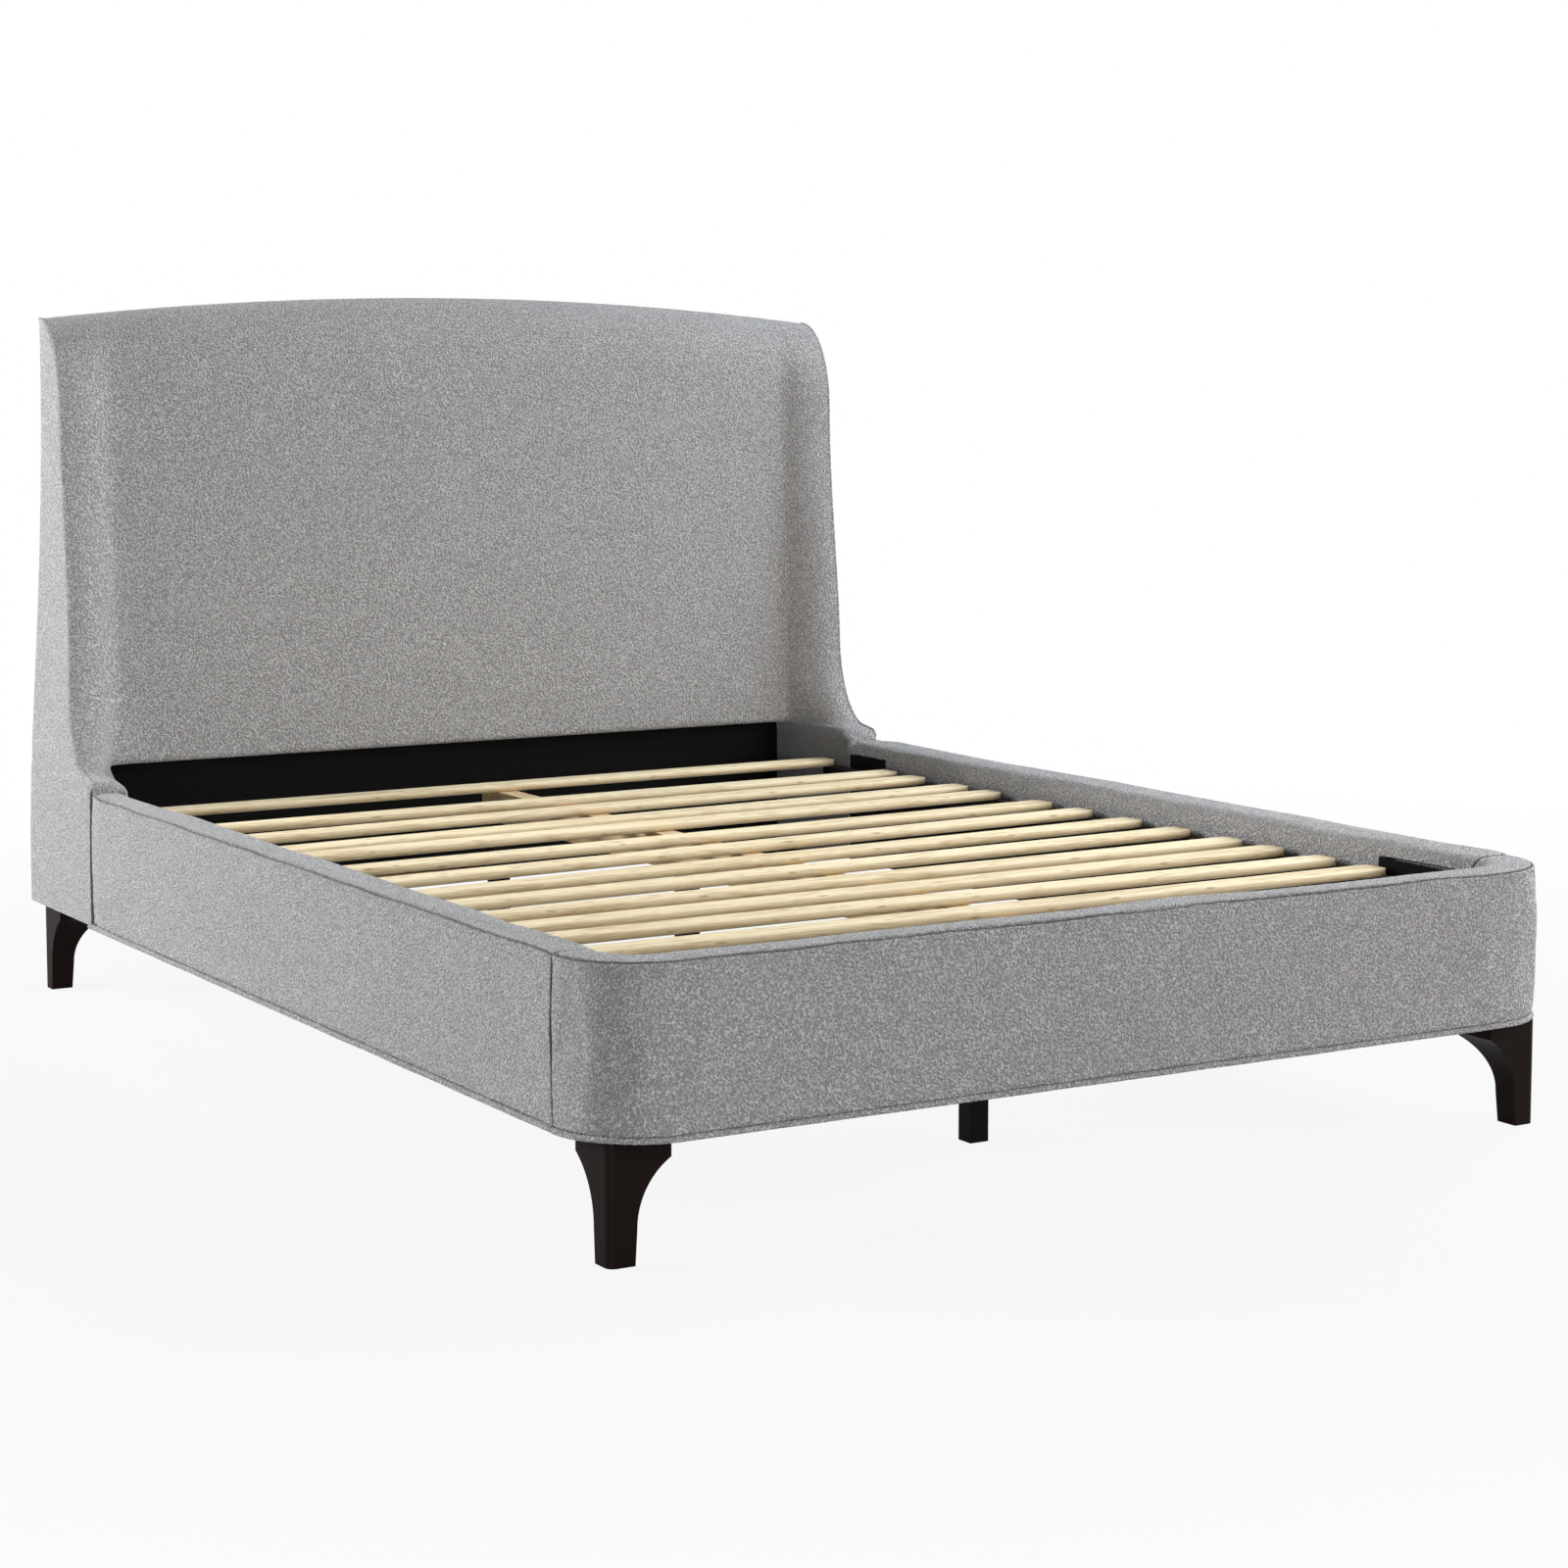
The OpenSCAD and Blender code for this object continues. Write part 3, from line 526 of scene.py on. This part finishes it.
s = np.linspace(cord_end, foot_length - cord_end, int(foot_length / cord_step))
place, inwards = round_footboard(s)
cord_z = under_z + cord_at[1] + cord_sag * ripple(s, 0.2, 53)
path = np.column_stack([place + inwards * cord_at[0], cord_z])
welt = skin("footboard_piping", cord_surface(path, cord_r, 63))
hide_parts("footboard_welt")
cords.append(welt)


# ---------------------------------------------------------------- wings
# A timber side board in foam and boucle: flat outside, sewn with piping down the front edge,
# soft on the inner edge, and swelling towards the headboard, where it meets the pad in a valley.

wing_lo, wing_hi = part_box("right_wing_pad")
pad_lo, pad_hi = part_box("headboard_pad")
back_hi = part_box("headboard_back")[1]
cloth_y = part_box("headboard_lower_cloth")[0].y - 0.0002
rail_top = rail_hi.z
well_x = rail_lo.x
wing_x = wing_hi.x
crease_x = wing_lo.x
toe_y = wing_lo.y
head_y = wing_hi.y
pad_y = pad_lo.y
wing_tilt = 0.013
crease_shift = 0.013
top_z = pad_hi.z
arch_rise = 0.046
wing_top = top_z - arch_rise
top_back_y = pad_hi.y
back_lean = head_y - top_back_y
arch_half = wing_x - wing_tilt
arch_r = arch_half**2 / (2 * arch_rise) + arch_rise / 2
# Sleigh curve of the front edge: a round toe, a concave sweep, a lean, and a roll over the top
toe_h = 0.019
toe_r = 0.015
sweep_y = toe_y + 0.038
sweep_z = rail_top + toe_h + 0.004
sweep_d = 0.098
sweep_h = 0.172
front_lean = 0.035
roll_h = 0.175
roll_z = wing_top - roll_h
roll_y = sweep_y + sweep_d + front_lean
roll_d = top_back_y - roll_y
pad_roll_h = 0.120


def arch_top(x):
    """Height of the headboard's arch, a circle, at a distance from the middle."""
    return top_z - arch_r + np.sqrt(arch_r**2 - x**2)


def back_y(z):
    """Back of the headboard at a height: upright, leaning forward, upright again."""
    return head_y - back_lean * ease(z, under_z + 0.082, wing_top - 0.060)


def wing_outside(z):
    """Outer face of a wing at a height, leaning in towards the top."""
    return wing_x - wing_tilt * np.sin(np.pi / 2 * ease(z, rail_top - 0.2, roll_z))


def pad_face(z):
    """Face of the pad at a height beside the wings: upright, then an ellipse back over the top."""
    up = np.clip((z - (wing_top - pad_roll_h)) / pad_roll_h, 0, 1)
    return pad_y + (top_back_y - pad_y) * (1 - np.sqrt(1 - up**2))


def lift(x, z):
    """Height of a point given by its height at the wings: all heights stretch with the arch."""
    stretch = (arch_top(x) - rail_top) / (wing_top - rail_top)
    return np.where(z > rail_top, rail_top + (z - rail_top) * stretch, z)


def spaced(points, step):
    """The same line with its points evenly spaced by about one step."""
    length = run_length(points)
    even = np.linspace(0, length[-1], int(length[-1] / step) + 2)
    return np.column_stack([np.interp(even, length, column) for column in points.T])


# Front edge of a wing as (y, z): foot, round toe, concave sweep, lean and rolled top
lean_part = np.linspace(0, 1, 30)[1:-1]
lean = np.column_stack([
    sweep_y + sweep_d + front_lean * ease(lean_part, 0, 1),
    sweep_z + sweep_h + (roll_z - sweep_z - sweep_h) * lean_part,
])
quarter_turn = np.radians(np.linspace(0, 90, 40))
sweep = np.column_stack([
    sweep_y + sweep_d * np.sin(quarter_turn),
    sweep_z + sweep_h * (1 - np.cos(quarter_turn)),
])
roll = np.column_stack([
    roll_y + roll_d * (1 - np.cos(quarter_turn)),
    roll_z + roll_h * np.sin(quarter_turn),
])
front_edge = np.concatenate([
    [[toe_y, under_z + hem]],
    arc((toe_y + toe_r, rail_top + toe_h - toe_r), toe_r, 180, 90, 10),
    sweep,
    lean,
    roll,
])
front_edge = spaced(front_edge, 0.007)

# The crease between pad and wing, and the pad's hem
valley_low = pad_lo.z
cross_x = crease_x - crease_shift
crease_soft = 0.010
crease_flare = 0.014
shoulder_power = 2.7
pad_hem = 0.012


def crease_x_at(z):
    """Distance of the crease from the middle: straight, and a little further out at the bottom."""
    return cross_x + crease_flare * (1 - ease(z, valley_low, valley_low + 0.09))


def valley_face(x, z):
    """Depth of the cloth between pad and wing at a distance from the middle and a height.

    The cloth turns forward out of a soft crease, steeply at first, and rounds off gradually
    until it reaches the wing's front edge.
    """
    edge_y = np.interp(z, front_edge[:, 1], front_edge[:, 0])
    reach = x - crease_x_at(z)
    part = (reach + np.sqrt(reach**2 + crease_soft**2)) / 2 / (wing_outside(z) - crease_x_at(z))
    shoulder = 1 - (1 - np.clip(part, 0, 1)) ** shoulder_power
    face = pad_face(z)
    return face + (edge_y - face) * shoulder


def hem_in(z, low):
    """How far the pad's face goes back round its lower edge, a quarter circle."""
    return pad_hem - np.sqrt(pad_hem**2 - np.clip(low + pad_hem - z, 0, pad_hem) ** 2)


# Points of a wing's section before its inner face: outer face, dip, hard edge, front, soft edge
outer_count = 30
hard_count = 5
across_count = 10
soft_count = 12
inner_from = outer_count + 1 + hard_count + across_count + soft_count
# Rounding at the back, swell of the outer face, and how far the inner face goes under the pad
rear_edge = 0.003
wing_swell = 0.0008
wing_under_pad = 0.034


def wing_section(front_y, z):
    """One level section of the right wing as closed x, y points.

    It runs forward along the outer face, dips beside the piping or the rail, crosses the front, and
    goes back along the inner face. Below the pad that face turns a soft edge and runs straight
    to the black cloth. Beside the pad it follows the valley and slips just under the pad. The
    share above is 0 beside the rail and 1 over it, where the edges are softer and the dip smaller.
    """
    out_x = wing_outside(z)
    rear = back_y(z)
    depth = max(rear - front_y, 0.0)
    above = ease(z, rail_top - 0.004, rail_top + 0.012)
    beside = 1 - above
    soft = min(0.004 + 0.031 * above, depth / 2 + 1e-4)
    hard = min(0.0024 + 0.0036 * beside, depth / 2 + 1e-4)
    groove = min(0.0055 + 0.0140 * beside, depth / 2)
    sunk = 0.0020 + 0.0025 * beside
    outer_front = front_y + groove + 0.0016 + 0.0034 * above
    outer_back = rear - rear_edge
    part = np.linspace(0, 1, outer_count)
    outer = np.column_stack([
        out_x + wing_swell * np.sin(np.pi * part) ** 0.7 * above,
        outer_back + (outer_front - outer_back) * part,
    ])
    dip = np.array([[out_x - sunk, front_y + groove]])
    edge = arc((out_x - hard, front_y + hard), hard, 0, -90, hard_count)
    part = np.linspace(0, 1, across_count + 2)[1:-1]
    across = np.column_stack([
        out_x - hard + (well_x + soft - out_x + hard) * part,
        np.full(across_count, front_y),
    ])
    round_edge = arc((well_x + soft, front_y + soft), soft, 270, 180, soft_count)
    side_y = np.linspace(front_y + soft, max(cloth_y, front_y + soft + 1e-4), 27)[1:]
    back_part = np.clip((side_y - side_y[0]) / max(side_y[-1] - side_y[0], 1e-6), 0, 1)
    side = np.column_stack([well_x + (crease_x - 0.0005 - well_x) * back_part, side_y])
    below_pad = np.concatenate([across, round_edge, side])
    tip_x = crease_x - wing_under_pad * ease(z, valley_low, valley_low + pad_hem)
    x = np.linspace(out_x - hard, tip_x, len(below_pad) + 1)[1:]
    under_pad = np.clip(crease_x_at(z) - x, 0, None)
    tuck = 0.04 * under_pad + hem_in(z, valley_low) * ease(under_pad, 0, pad_hem)
    beside_pad = np.column_stack([x, valley_face(x, z) + tuck])
    share = ease(z, valley_low - 0.018, valley_low + 0.002)
    within = below_pad + (beside_pad - below_pad) * share
    within[:, 1] = np.minimum(within[:, 1], max(rear - 0.007, front_y + 1e-4))
    tip = within[-1]
    hidden = straight((tip[0] - 0.001, tip[1] + 0.001), (crease_x - 0.006, rear - 0.006), 8)
    cover_x = back_hi.x + 0.0006
    sunk_back = 0.0005 + 0.0045 * (1 - ease(z, wing_top - 0.042, wing_top - 0.036))
    behind = straight((crease_x - 0.006, rear - sunk_back), (cover_x, rear - sunk_back), 4)
    lip = np.array([
        [cover_x, rear - 0.4 * sunk_back],
        [cover_x + 0.002, rear],
        [out_x - rear_edge, rear],
        [out_x - 0.0008, rear - 0.0008],
    ])
    return np.concatenate([outer, dip, edge, within, hidden, behind, lip])


def wing_surface():
    """Grid of the right wing, each level section lifted so that its top follows the arch."""
    rows = []
    for front_y, z in front_edge:
        flat = wing_section(front_y, z)
        rows.append(np.column_stack([flat, lift(flat[:, 0], np.full(len(flat), z))]))
    return np.array(rows)


wing_grid = wing_surface()
wing_piping_r = 0.0026
for side, sign in (("left", -1), ("right", 1)):
    wing = skin(f"{side}_wing_cover", wing_grid * [sign, 1, 1])
    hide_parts(f"{side}_wing_pad")
    wing.data.materials.append(boucle_cloth)
    # Painted shade low down inside the wing, and stitching and painted shade in the dip at the front
    painted_shade = 0.5 * (1 - ease(wing_grid[..., 2], rail_top - 0.010, valley_low + 0.040))
    # Painted shade: only the inner face is darkened low down, and the dip columns are darkened all the way
    # up
    painted_shade[:, :inner_from] = 0.0
    painted_shade[:, outer_count:outer_count + 2] = 1.0
    mark(wing, "stitch_and_shade", painted_shade.ravel())
    out_x = wing_outside(front_edge[:, 1])
    path = np.column_stack([sign * (out_x - 0.0024), front_edge[:, 0] + 0.0018, front_edge[:, 1]])
    above_foot = spaced(path[path[:, 2] > rail_top + 0.002], cord_step)
    piping = skin(f"{side}_wing_piping", cord_surface(above_foot, wing_piping_r, 70 + sign))
    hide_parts(f"{side}_wing_welt")
    cords.append(piping)

for piece in cords:
    piece.data.materials.append(boucle_cloth)


# ---------------------------------------------------------------- headboard pad
# One plain panel of foam and boucle on arched plywood, rolled back over the top.

pad_half = pad_hi.x
pad_foam = 0.050
pad_crown = 0.005
pad_columns = 190
panel_slot = 0.0355


def pad_surface():
    """Grid of the pad, one upright section for each distance across.

    A section goes round the hem, up the face, which is crowned a few millimetres and sweeps
    forward into the valleys, back over the rolled top, and down behind the foam. Past the
    crease the face dives under the wing's.
    """
    across = np.sin(np.linspace(-np.pi / 2, np.pi / 2, pad_columns))
    across = 0.4 * np.linspace(-1, 1, pad_columns) + 0.6 * across
    rows = []
    for part in across:
        x = part * pad_half
        stretch = (arch_top(abs(x)) - rail_top) / (wing_top - rail_top)
        low = rail_top + (pad_lo.z - rail_top) / stretch
        turn = np.radians(np.linspace(0, 90, 20))[1:]
        z = np.concatenate([
            low + pad_hem * (1 - np.cos(np.linspace(0, np.pi / 2, 7)))[:-1],
            np.linspace(low + pad_hem, wing_top - pad_roll_h, 84),
            wing_top - pad_roll_h * (1 - np.sin(turn)),
        ])
        up = np.clip((z - low) / (wing_top - pad_roll_h - low), 0, 1)
        crown = pad_crown * (1 - part**8) * (1 - (1 - up) ** 8) * (1 - 0.35 * up**3)
        over = np.clip((z - (wing_top - pad_roll_h)) / pad_roll_h, 0, 1)
        dive = 0.10 * max(abs(x) - cross_x, 0)
        crown = crown * (wing_top - z > 1e-6) * np.sqrt(1 - over**2) - dive
        face = np.column_stack([valley_face(abs(x), z) + hem_in(z, low) - crown, lift(abs(x), z)])
        top = face[-1, 1]
        behind = np.array([
            [top_back_y - 0.0005, top - 0.012],
            [top_back_y - 0.0005, top - panel_slot],
            [pad_y + pad_foam, top - panel_slot - 0.0003],
        ])
        down = straight((pad_y + pad_foam, top - 0.07), (pad_y + pad_foam, pad_lo.z), 12)
        under = straight((pad_y + pad_foam, pad_lo.z), (face[0, 0], pad_lo.z), 3)
        outline = np.concatenate([face, behind, down, under])
        rows.append(np.column_stack([np.full(len(outline), x), outline]))
    return np.array(rows)


pad = skin("headboard_cushion", pad_surface())
pad.data.materials.append(boucle_cloth)
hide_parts("headboard_pad")


# ---------------------------------------------------------------- back cover
# A flat panel of the same boucle, tacked to the back of the frame between the wings.

back_cover_t = 0.003
back_below_arch = 0.036
back_count = 120


def back_surface():
    """Grid of the back cover: upright sections that follow the lean of the back.

    The cover dips where it is tacked round its edge, and waves a millimetre between.
    """
    rows = []
    for part in np.linspace(-1, 1, back_count):
        x = part * back_hi.x
        top = arch_top(abs(x)) - back_below_arch
        z = np.linspace(under_z + 0.001, top, back_count)
        edge = np.minimum(np.minimum(z - z[0], z[-1] - z), back_hi.x - abs(x))
        dip = 0.0022 * np.exp(-edge / 0.005)
        puff = 0.0010 * ripple(z + 2.3 * x, 0.5, 81)
        outer = np.column_stack([back_y(z) - dip + puff * (1 - np.exp(-edge / 0.08)), z])
        inner = np.column_stack([back_y(z) - back_cover_t, z])[::-1]
        outline = np.concatenate([outer, inner])
        rows.append(np.column_stack([np.full(len(outline), x), outline]))
    return np.array(rows)


back = skin("back_cover", back_surface())
back.data.materials.append(boucle_cloth)
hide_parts("headboard_back")


# ---------------------------------------------------------------- black cloth
# Thin non-woven cloth stapled over the headboard below the pad and inside the rails.


def finish_node(name, made):
    """Gives a CAD node one material."""
    slots = nodes[name].data.materials
    slots.clear()
    slots.append(made)


black_cloth, tree, shader = material("black_cloth", 0.85, 0.05)
where = add(tree, "TexCoord").outputs["Object"]
fibres = add(tree, "TexNoise", {"Vector": where, "Scale": 700.0, "Detail": 4.0}).outputs[0]
slack = add(tree, "TexNoise", {"Vector": where, "Scale": 14.0, "Detail": 2.0}).outputs[0]
cloth_colour = blend(tree, fibres, (0.004, 0.004, 0.004, 1), (0.013, 0.013, 0.013, 1))
tree.links.new(cloth_colour, shader.inputs["Base Color"])
cloth_height = maths(tree, "MULTIPLY_ADD", slack, 3.0, fibres)
bump(tree, shader, cloth_height, 0.4, 0.0008)
for name in ("headboard_lower_cloth", "left_rail_inner_cloth", "right_rail_inner_cloth"):
    finish_node(name, black_cloth)


# ---------------------------------------------------------------- slats, beam and timber
# Planed pine slats with round edges, stapled to ledgers, and a pine beam under their middle.


def along_grain(tree, where, stretch):
    """Coordinates squeezed along the grain, which runs along X, Y or Z as the stretch says."""
    return add(tree, "VectorMath", {0: where, 1: stretch}, operation="MULTIPLY").outputs[0]


grain, given, result = new_group(
    "pine_grain",
    [
        ("Vector", "Vector", (0, 0, 0)),
        ("Light", "Color", (0.8, 0.6, 0.36, 1)),
        ("Dark", "Color", (0.55, 0.36, 0.18, 1)),
        ("Rings", "Float", 60.0),
    ],
    [("Color", "Color"), ("Height", "Float")],
)
along = given.outputs["Vector"]
drift = add(grain, "TexNoise", {"Vector": along, "Scale": 6.0, "Detail": 2.0})
rings = maths(grain, "MULTIPLY", drift.outputs[0], given.outputs["Rings"])
rings = maths(grain, "PINGPONG", rings, 1.0)
late_wood = spread(grain, rings, 0.55, 1.0)
streaks = add(grain, "TexNoise", {"Vector": along, "Scale": 130.0, "Detail": 4.0}).outputs[0]
streaks = spread(grain, streaks, 0.30, 0.70)
board_tone = add(grain, "TexNoise", {"Vector": along, "Scale": 4.0, "Detail": 1.0}).outputs[0]
tone = maths(grain, "MULTIPLY_ADD", streaks, 0.60, maths(grain, "MULTIPLY", late_wood, 0.45))
tone = maths(grain, "ADD", tone, maths(grain, "MULTIPLY_ADD", board_tone, 1.3, -0.85))
tone = add(grain, "Clamp", {0: tone}).outputs[0]
wood = blend(grain, tone, given.outputs["Light"], given.outputs["Dark"])
grain.links.new(wood, result.inputs["Color"])
grain.links.new(maths(grain, "MULTIPLY_ADD", late_wood, 0.5, streaks), result.inputs["Height"])


def timber(name, light, dark, stretch, rings, roughness):
    """Pine or plywood with its grain along one axis, small knots, and painted shade on faces that don't
    face up.
    """
    made, tree, shader = material(name, roughness, 0.3)
    where = add(tree, "TexCoord").outputs["Object"]
    wood = tree.nodes.new("ShaderNodeGroup")
    wood.node_tree = grain
    tree.links.new(along_grain(tree, where, stretch), wood.inputs["Vector"])
    wood.inputs["Light"].default_value = light
    wood.inputs["Dark"].default_value = dark
    wood.inputs["Rings"].default_value = rings
    flecks = add(tree, "TexVoronoi", {"Vector": along_grain(tree, where, (14, 60, 60)), "Scale": 1.0})
    fleck = maths(tree, "MULTIPLY", spread(tree, flecks.outputs["Distance"], 0.20, 0.06), 0.65)
    speckled = blend(tree, fleck, wood.outputs["Color"], (0.25, 0.14, 0.06, 1))
    # Painted shade: faces that turn away from straight up blend towards the dark wood
    facing = add(tree, "SeparateXYZ", {0: add(tree, "TexCoord").outputs["Normal"]}).outputs["Z"]
    edge = spread(tree, facing, 0.85, 0.60)
    side_shaded = blend(tree, maths(tree, "MULTIPLY", edge, 0.45), speckled, dark)
    tree.links.new(side_shaded, shader.inputs["Base Color"])
    bump(tree, shader, wood.outputs["Height"], 0.6, 0.0010)
    return made


# Each timber's light and dark wood, stretch of its grain, rings and roughness
slat_woods = ((0.96, 0.83, 0.57, 1), (0.58, 0.43, 0.23, 1))
beam_woods = ((0.74, 0.56, 0.34, 1), (0.52, 0.35, 0.18, 1))
frame_woods = ((0.70, 0.52, 0.31, 1), (0.50, 0.33, 0.17, 1))
ply_woods = ((0.66, 0.48, 0.30, 1), (0.52, 0.35, 0.20, 1))
slat_pine = timber("slat_pine", *slat_woods, (0.25, 3.0, 3.0), 14.0, 0.6)
beam_pine = timber("beam_pine", *beam_woods, (3.0, 0.25, 3.0), 14.0, 0.65)
frame_pine = timber("frame_pine", *frame_woods, (3.0, 3.0, 0.4), 14.0, 0.7)
plywood = timber("plywood", *ply_woods, (2.0, 12.0, 0.3), 20.0, 0.7)
for name in sorted(nodes):
    if name.startswith("slat_"):
        finish_node(name, slat_pine)
finish_node("center_beam", beam_pine)
for name in ("headboard_frame", "left_wing_board", "right_wing_board"):
    finish_node(name, frame_pine)
for name in ("left_rail_board", "right_rail_board", "footboard_core"):
    finish_node(name, beam_pine)
for name in ("left_corner_block", "right_corner_block"):
    finish_node(name, beam_pine)
finish_node("headboard_panel", plywood)


# ---------------------------------------------------------------- legs
# Solid bracket legs stained espresso under satin lacquer, and plain square legs under the beam.

espresso, tree, shader = material("espresso_wood", 0.38, 0.1)
where = add(tree, "TexCoord").outputs["Object"]
upright = along_grain(tree, where, (260, 260, 14))
pores = add(tree, "TexNoise", {"Vector": upright, "Scale": 1.0, "Detail": 3.0})
stain = blend(tree, pores.outputs[0], (0.0045, 0.0026, 0.0024, 1), (0.016, 0.0085, 0.0072, 1))
tree.links.new(stain, shader.inputs["Base Color"])
tree.links.new(spread(tree, pores.outputs[0], 0.2, 0.8, 0.46, 0.32), shader.inputs["Roughness"])
bump(tree, shader, pores.outputs[0], 0.15, 0.0004)
for name in ("left_front_leg", "right_front_leg", "left_rear_leg", "right_rear_leg"):
    finish_node(name, espresso)

black_paint, tree, shader = material("black_paint", 0.55, 0.1)
where = add(tree, "TexCoord").outputs["Object"]
upright = along_grain(tree, where, (120, 120, 20))
brushed = add(tree, "TexNoise", {"Vector": upright, "Scale": 1.0, "Detail": 3.0})
paint = blend(tree, brushed.outputs[0], (0.005, 0.005, 0.005, 1), (0.012, 0.011, 0.011, 1))
tree.links.new(paint, shader.inputs["Base Color"])
bump(tree, shader, brushed.outputs[0], 0.2, 0.0004)
for name in ("center_leg_rear", "center_leg_middle", "center_leg_front", "left_ledger", "right_ledger"):
    finish_node(name, black_paint)


# ---------------------------------------------------------------- steel fittings
# Black powder-coated brackets and hanger, and zinc-plated bolts.

coated_steel, tree, shader = material("powder_coat", 0.5, 0.5)
where = add(tree, "TexCoord").outputs["Object"]
grit = add(tree, "TexNoise", {"Vector": where, "Scale": 900.0, "Detail": 2.0}).outputs[0]
powder = blend(tree, grit, (0.008, 0.008, 0.008, 1), (0.02, 0.02, 0.02, 1))
tree.links.new(powder, shader.inputs["Base Color"])
bump(tree, shader, grit, 0.3, 0.0003)
for side in ("left", "right"):
    finish_node(f"{side}_head_bracket", coated_steel)
    finish_node(f"{side}_foot_bracket", coated_steel)
finish_node("beam_hanger", coated_steel)

zinc, tree, shader = material("zinc_steel", 0.35, 0.5)
where = add(tree, "TexCoord").outputs["Object"]
spangle = add(tree, "TexVoronoi", {"Vector": where, "Scale": 500.0}).outputs["Color"]
dull = add(tree, "SeparateColor", {0: spangle}).outputs[0]
shader.inputs["Metallic"].default_value = 1.0
zinc_colour = blend(tree, dull, (0.50, 0.51, 0.52, 1), (0.66, 0.67, 0.68, 1))
tree.links.new(zinc_colour, shader.inputs["Base Color"])
tree.links.new(spread(tree, dull, 0.0, 1.0, 0.28, 0.45), shader.inputs["Roughness"])
for name in ("rail_bolts", "leg_bolts"):
    finish_node(name, zinc)


# ---------------------------------------------------------------- floor, light and camera
# A plain pale floor that keeps a faint shadow, large soft lamps, and a long lens.

floor_mesh = bpy.data.meshes.new("floor")
reach = 40.0
corners = [(-reach, -reach, 0), (reach, -reach, 0), (reach, reach, 0), (-reach, reach, 0)]
floor_mesh.from_pydata(corners, [], [(0, 1, 2, 3)])
floor = bpy.data.objects.new("floor", floor_mesh)
bpy.context.scene.collection.objects.link(floor)
paper, tree, shader = material("pale_floor", 0.9, 0.0)
shader.inputs["Base Color"].default_value = (0.42, 0.42, 0.42, 1)
glow = add(tree, "Emission", {"Color": (1, 1, 1, 1), "Strength": 1.0})
seen = add(tree, "LightPath").outputs["Is Camera Ray"]
where = add(tree, "TexCoord").outputs["Object"]
from_bed = add(tree, "VectorMath", {0: where}, operation="LENGTH").outputs["Value"]
white_share = maths(tree, "MULTIPLY", seen, spread(tree, from_bed, 1.4, 4.0, 0.90, 1.0))
both = add(tree, "MixShader", {0: white_share, 1: shader.outputs[0], 2: glow.outputs[0]})
tree.links.new(both.outputs[0], tree.nodes["Material Output"].inputs["Surface"])
floor_mesh.materials.append(paper)

world = bpy.data.worlds.new("studio")
bpy.context.scene.world = world
world.use_nodes = True
tree = world.node_tree
path_kind = add(tree, "LightPath")
direct = maths(tree, "MAXIMUM", path_kind.outputs["Is Camera Ray"], path_kind.outputs["Is Glossy Ray"])
direct = maths(tree, "MAXIMUM", direct, path_kind.outputs["Is Transmission Ray"])
room = add(tree, "Background", {"Color": (0.6, 0.78, 1.0, 1), "Strength": 0.04})
white = add(tree, "Background", {"Color": (1, 1, 1, 1), "Strength": 1.0})
mixed = add(tree, "MixShader", {0: direct, 1: room.outputs[0], 2: white.outputs[0]})
tree.links.new(mixed.outputs[0], tree.nodes["World Output"].inputs["Surface"])

middle = Vector((0, 0, 0.6))


def soft_lamp(name, direction, distance, width, height, power, colour):
    """Rectangular softbox that faces the middle of the bed from a direction."""
    light = bpy.data.lights.new(name, "AREA")
    light.shape = "RECTANGLE"
    light.size = width
    light.size_y = height
    light.energy = power
    light.color = colour
    lamp = bpy.data.objects.new(name, light)
    away = Vector(direction).normalized()
    lamp.location = middle + away * distance
    lamp.rotation_mode = "QUATERNION"
    lamp.rotation_quaternion = (-away).to_track_quat("-Z", "Y")
    bpy.context.scene.collection.objects.link(lamp)


soft_lamp("left_softbox", (-1.0, 0.7, 0.4), 5.0, 2.0, 2.0, 248, (1.0, 0.99, 0.97))
soft_lamp("front_softbox", (0.75, -1.0, 0.45), 6.0, 3.0, 3.0, 192, (1.0, 0.95, 0.89))
soft_lamp("right_softbox", (1.0, 0.0, 0.6), 5.0, 3.0, 3.0, 250, (0.87, 0.94, 1.0))
soft_lamp("top_softbox", (0.0, 0.1, 1.0), 4.5, 4.0, 4.0, 36, (1.0, 0.99, 0.97))
soft_lamp("fill_softbox", (-0.9, -1.0, 0.0), 6.0, 3.0, 0.8, 82, (1.0, 0.97, 0.96))

camera_data = bpy.data.cameras.new("camera")
camera_data.lens = 75.6
camera_data.sensor_width = 36.0
camera_data.shift_y = -0.0625
camera_data.clip_end = 200.0
camera = bpy.data.objects.new("camera", camera_data)
turned = np.radians(30.88)
pitch = np.radians(5.66)
gaze = Vector((np.sin(turned) * np.cos(pitch), np.cos(turned) * np.cos(pitch), -np.sin(pitch)))
camera.location = (-2.809, -4.914, 1.198)
camera.rotation_mode = "QUATERNION"
camera.rotation_quaternion = gaze.to_track_quat("-Z", "Y")
bpy.context.scene.collection.objects.link(camera)
bpy.context.scene.camera = camera
bpy.context.scene.view_settings.view_transform = "Standard"
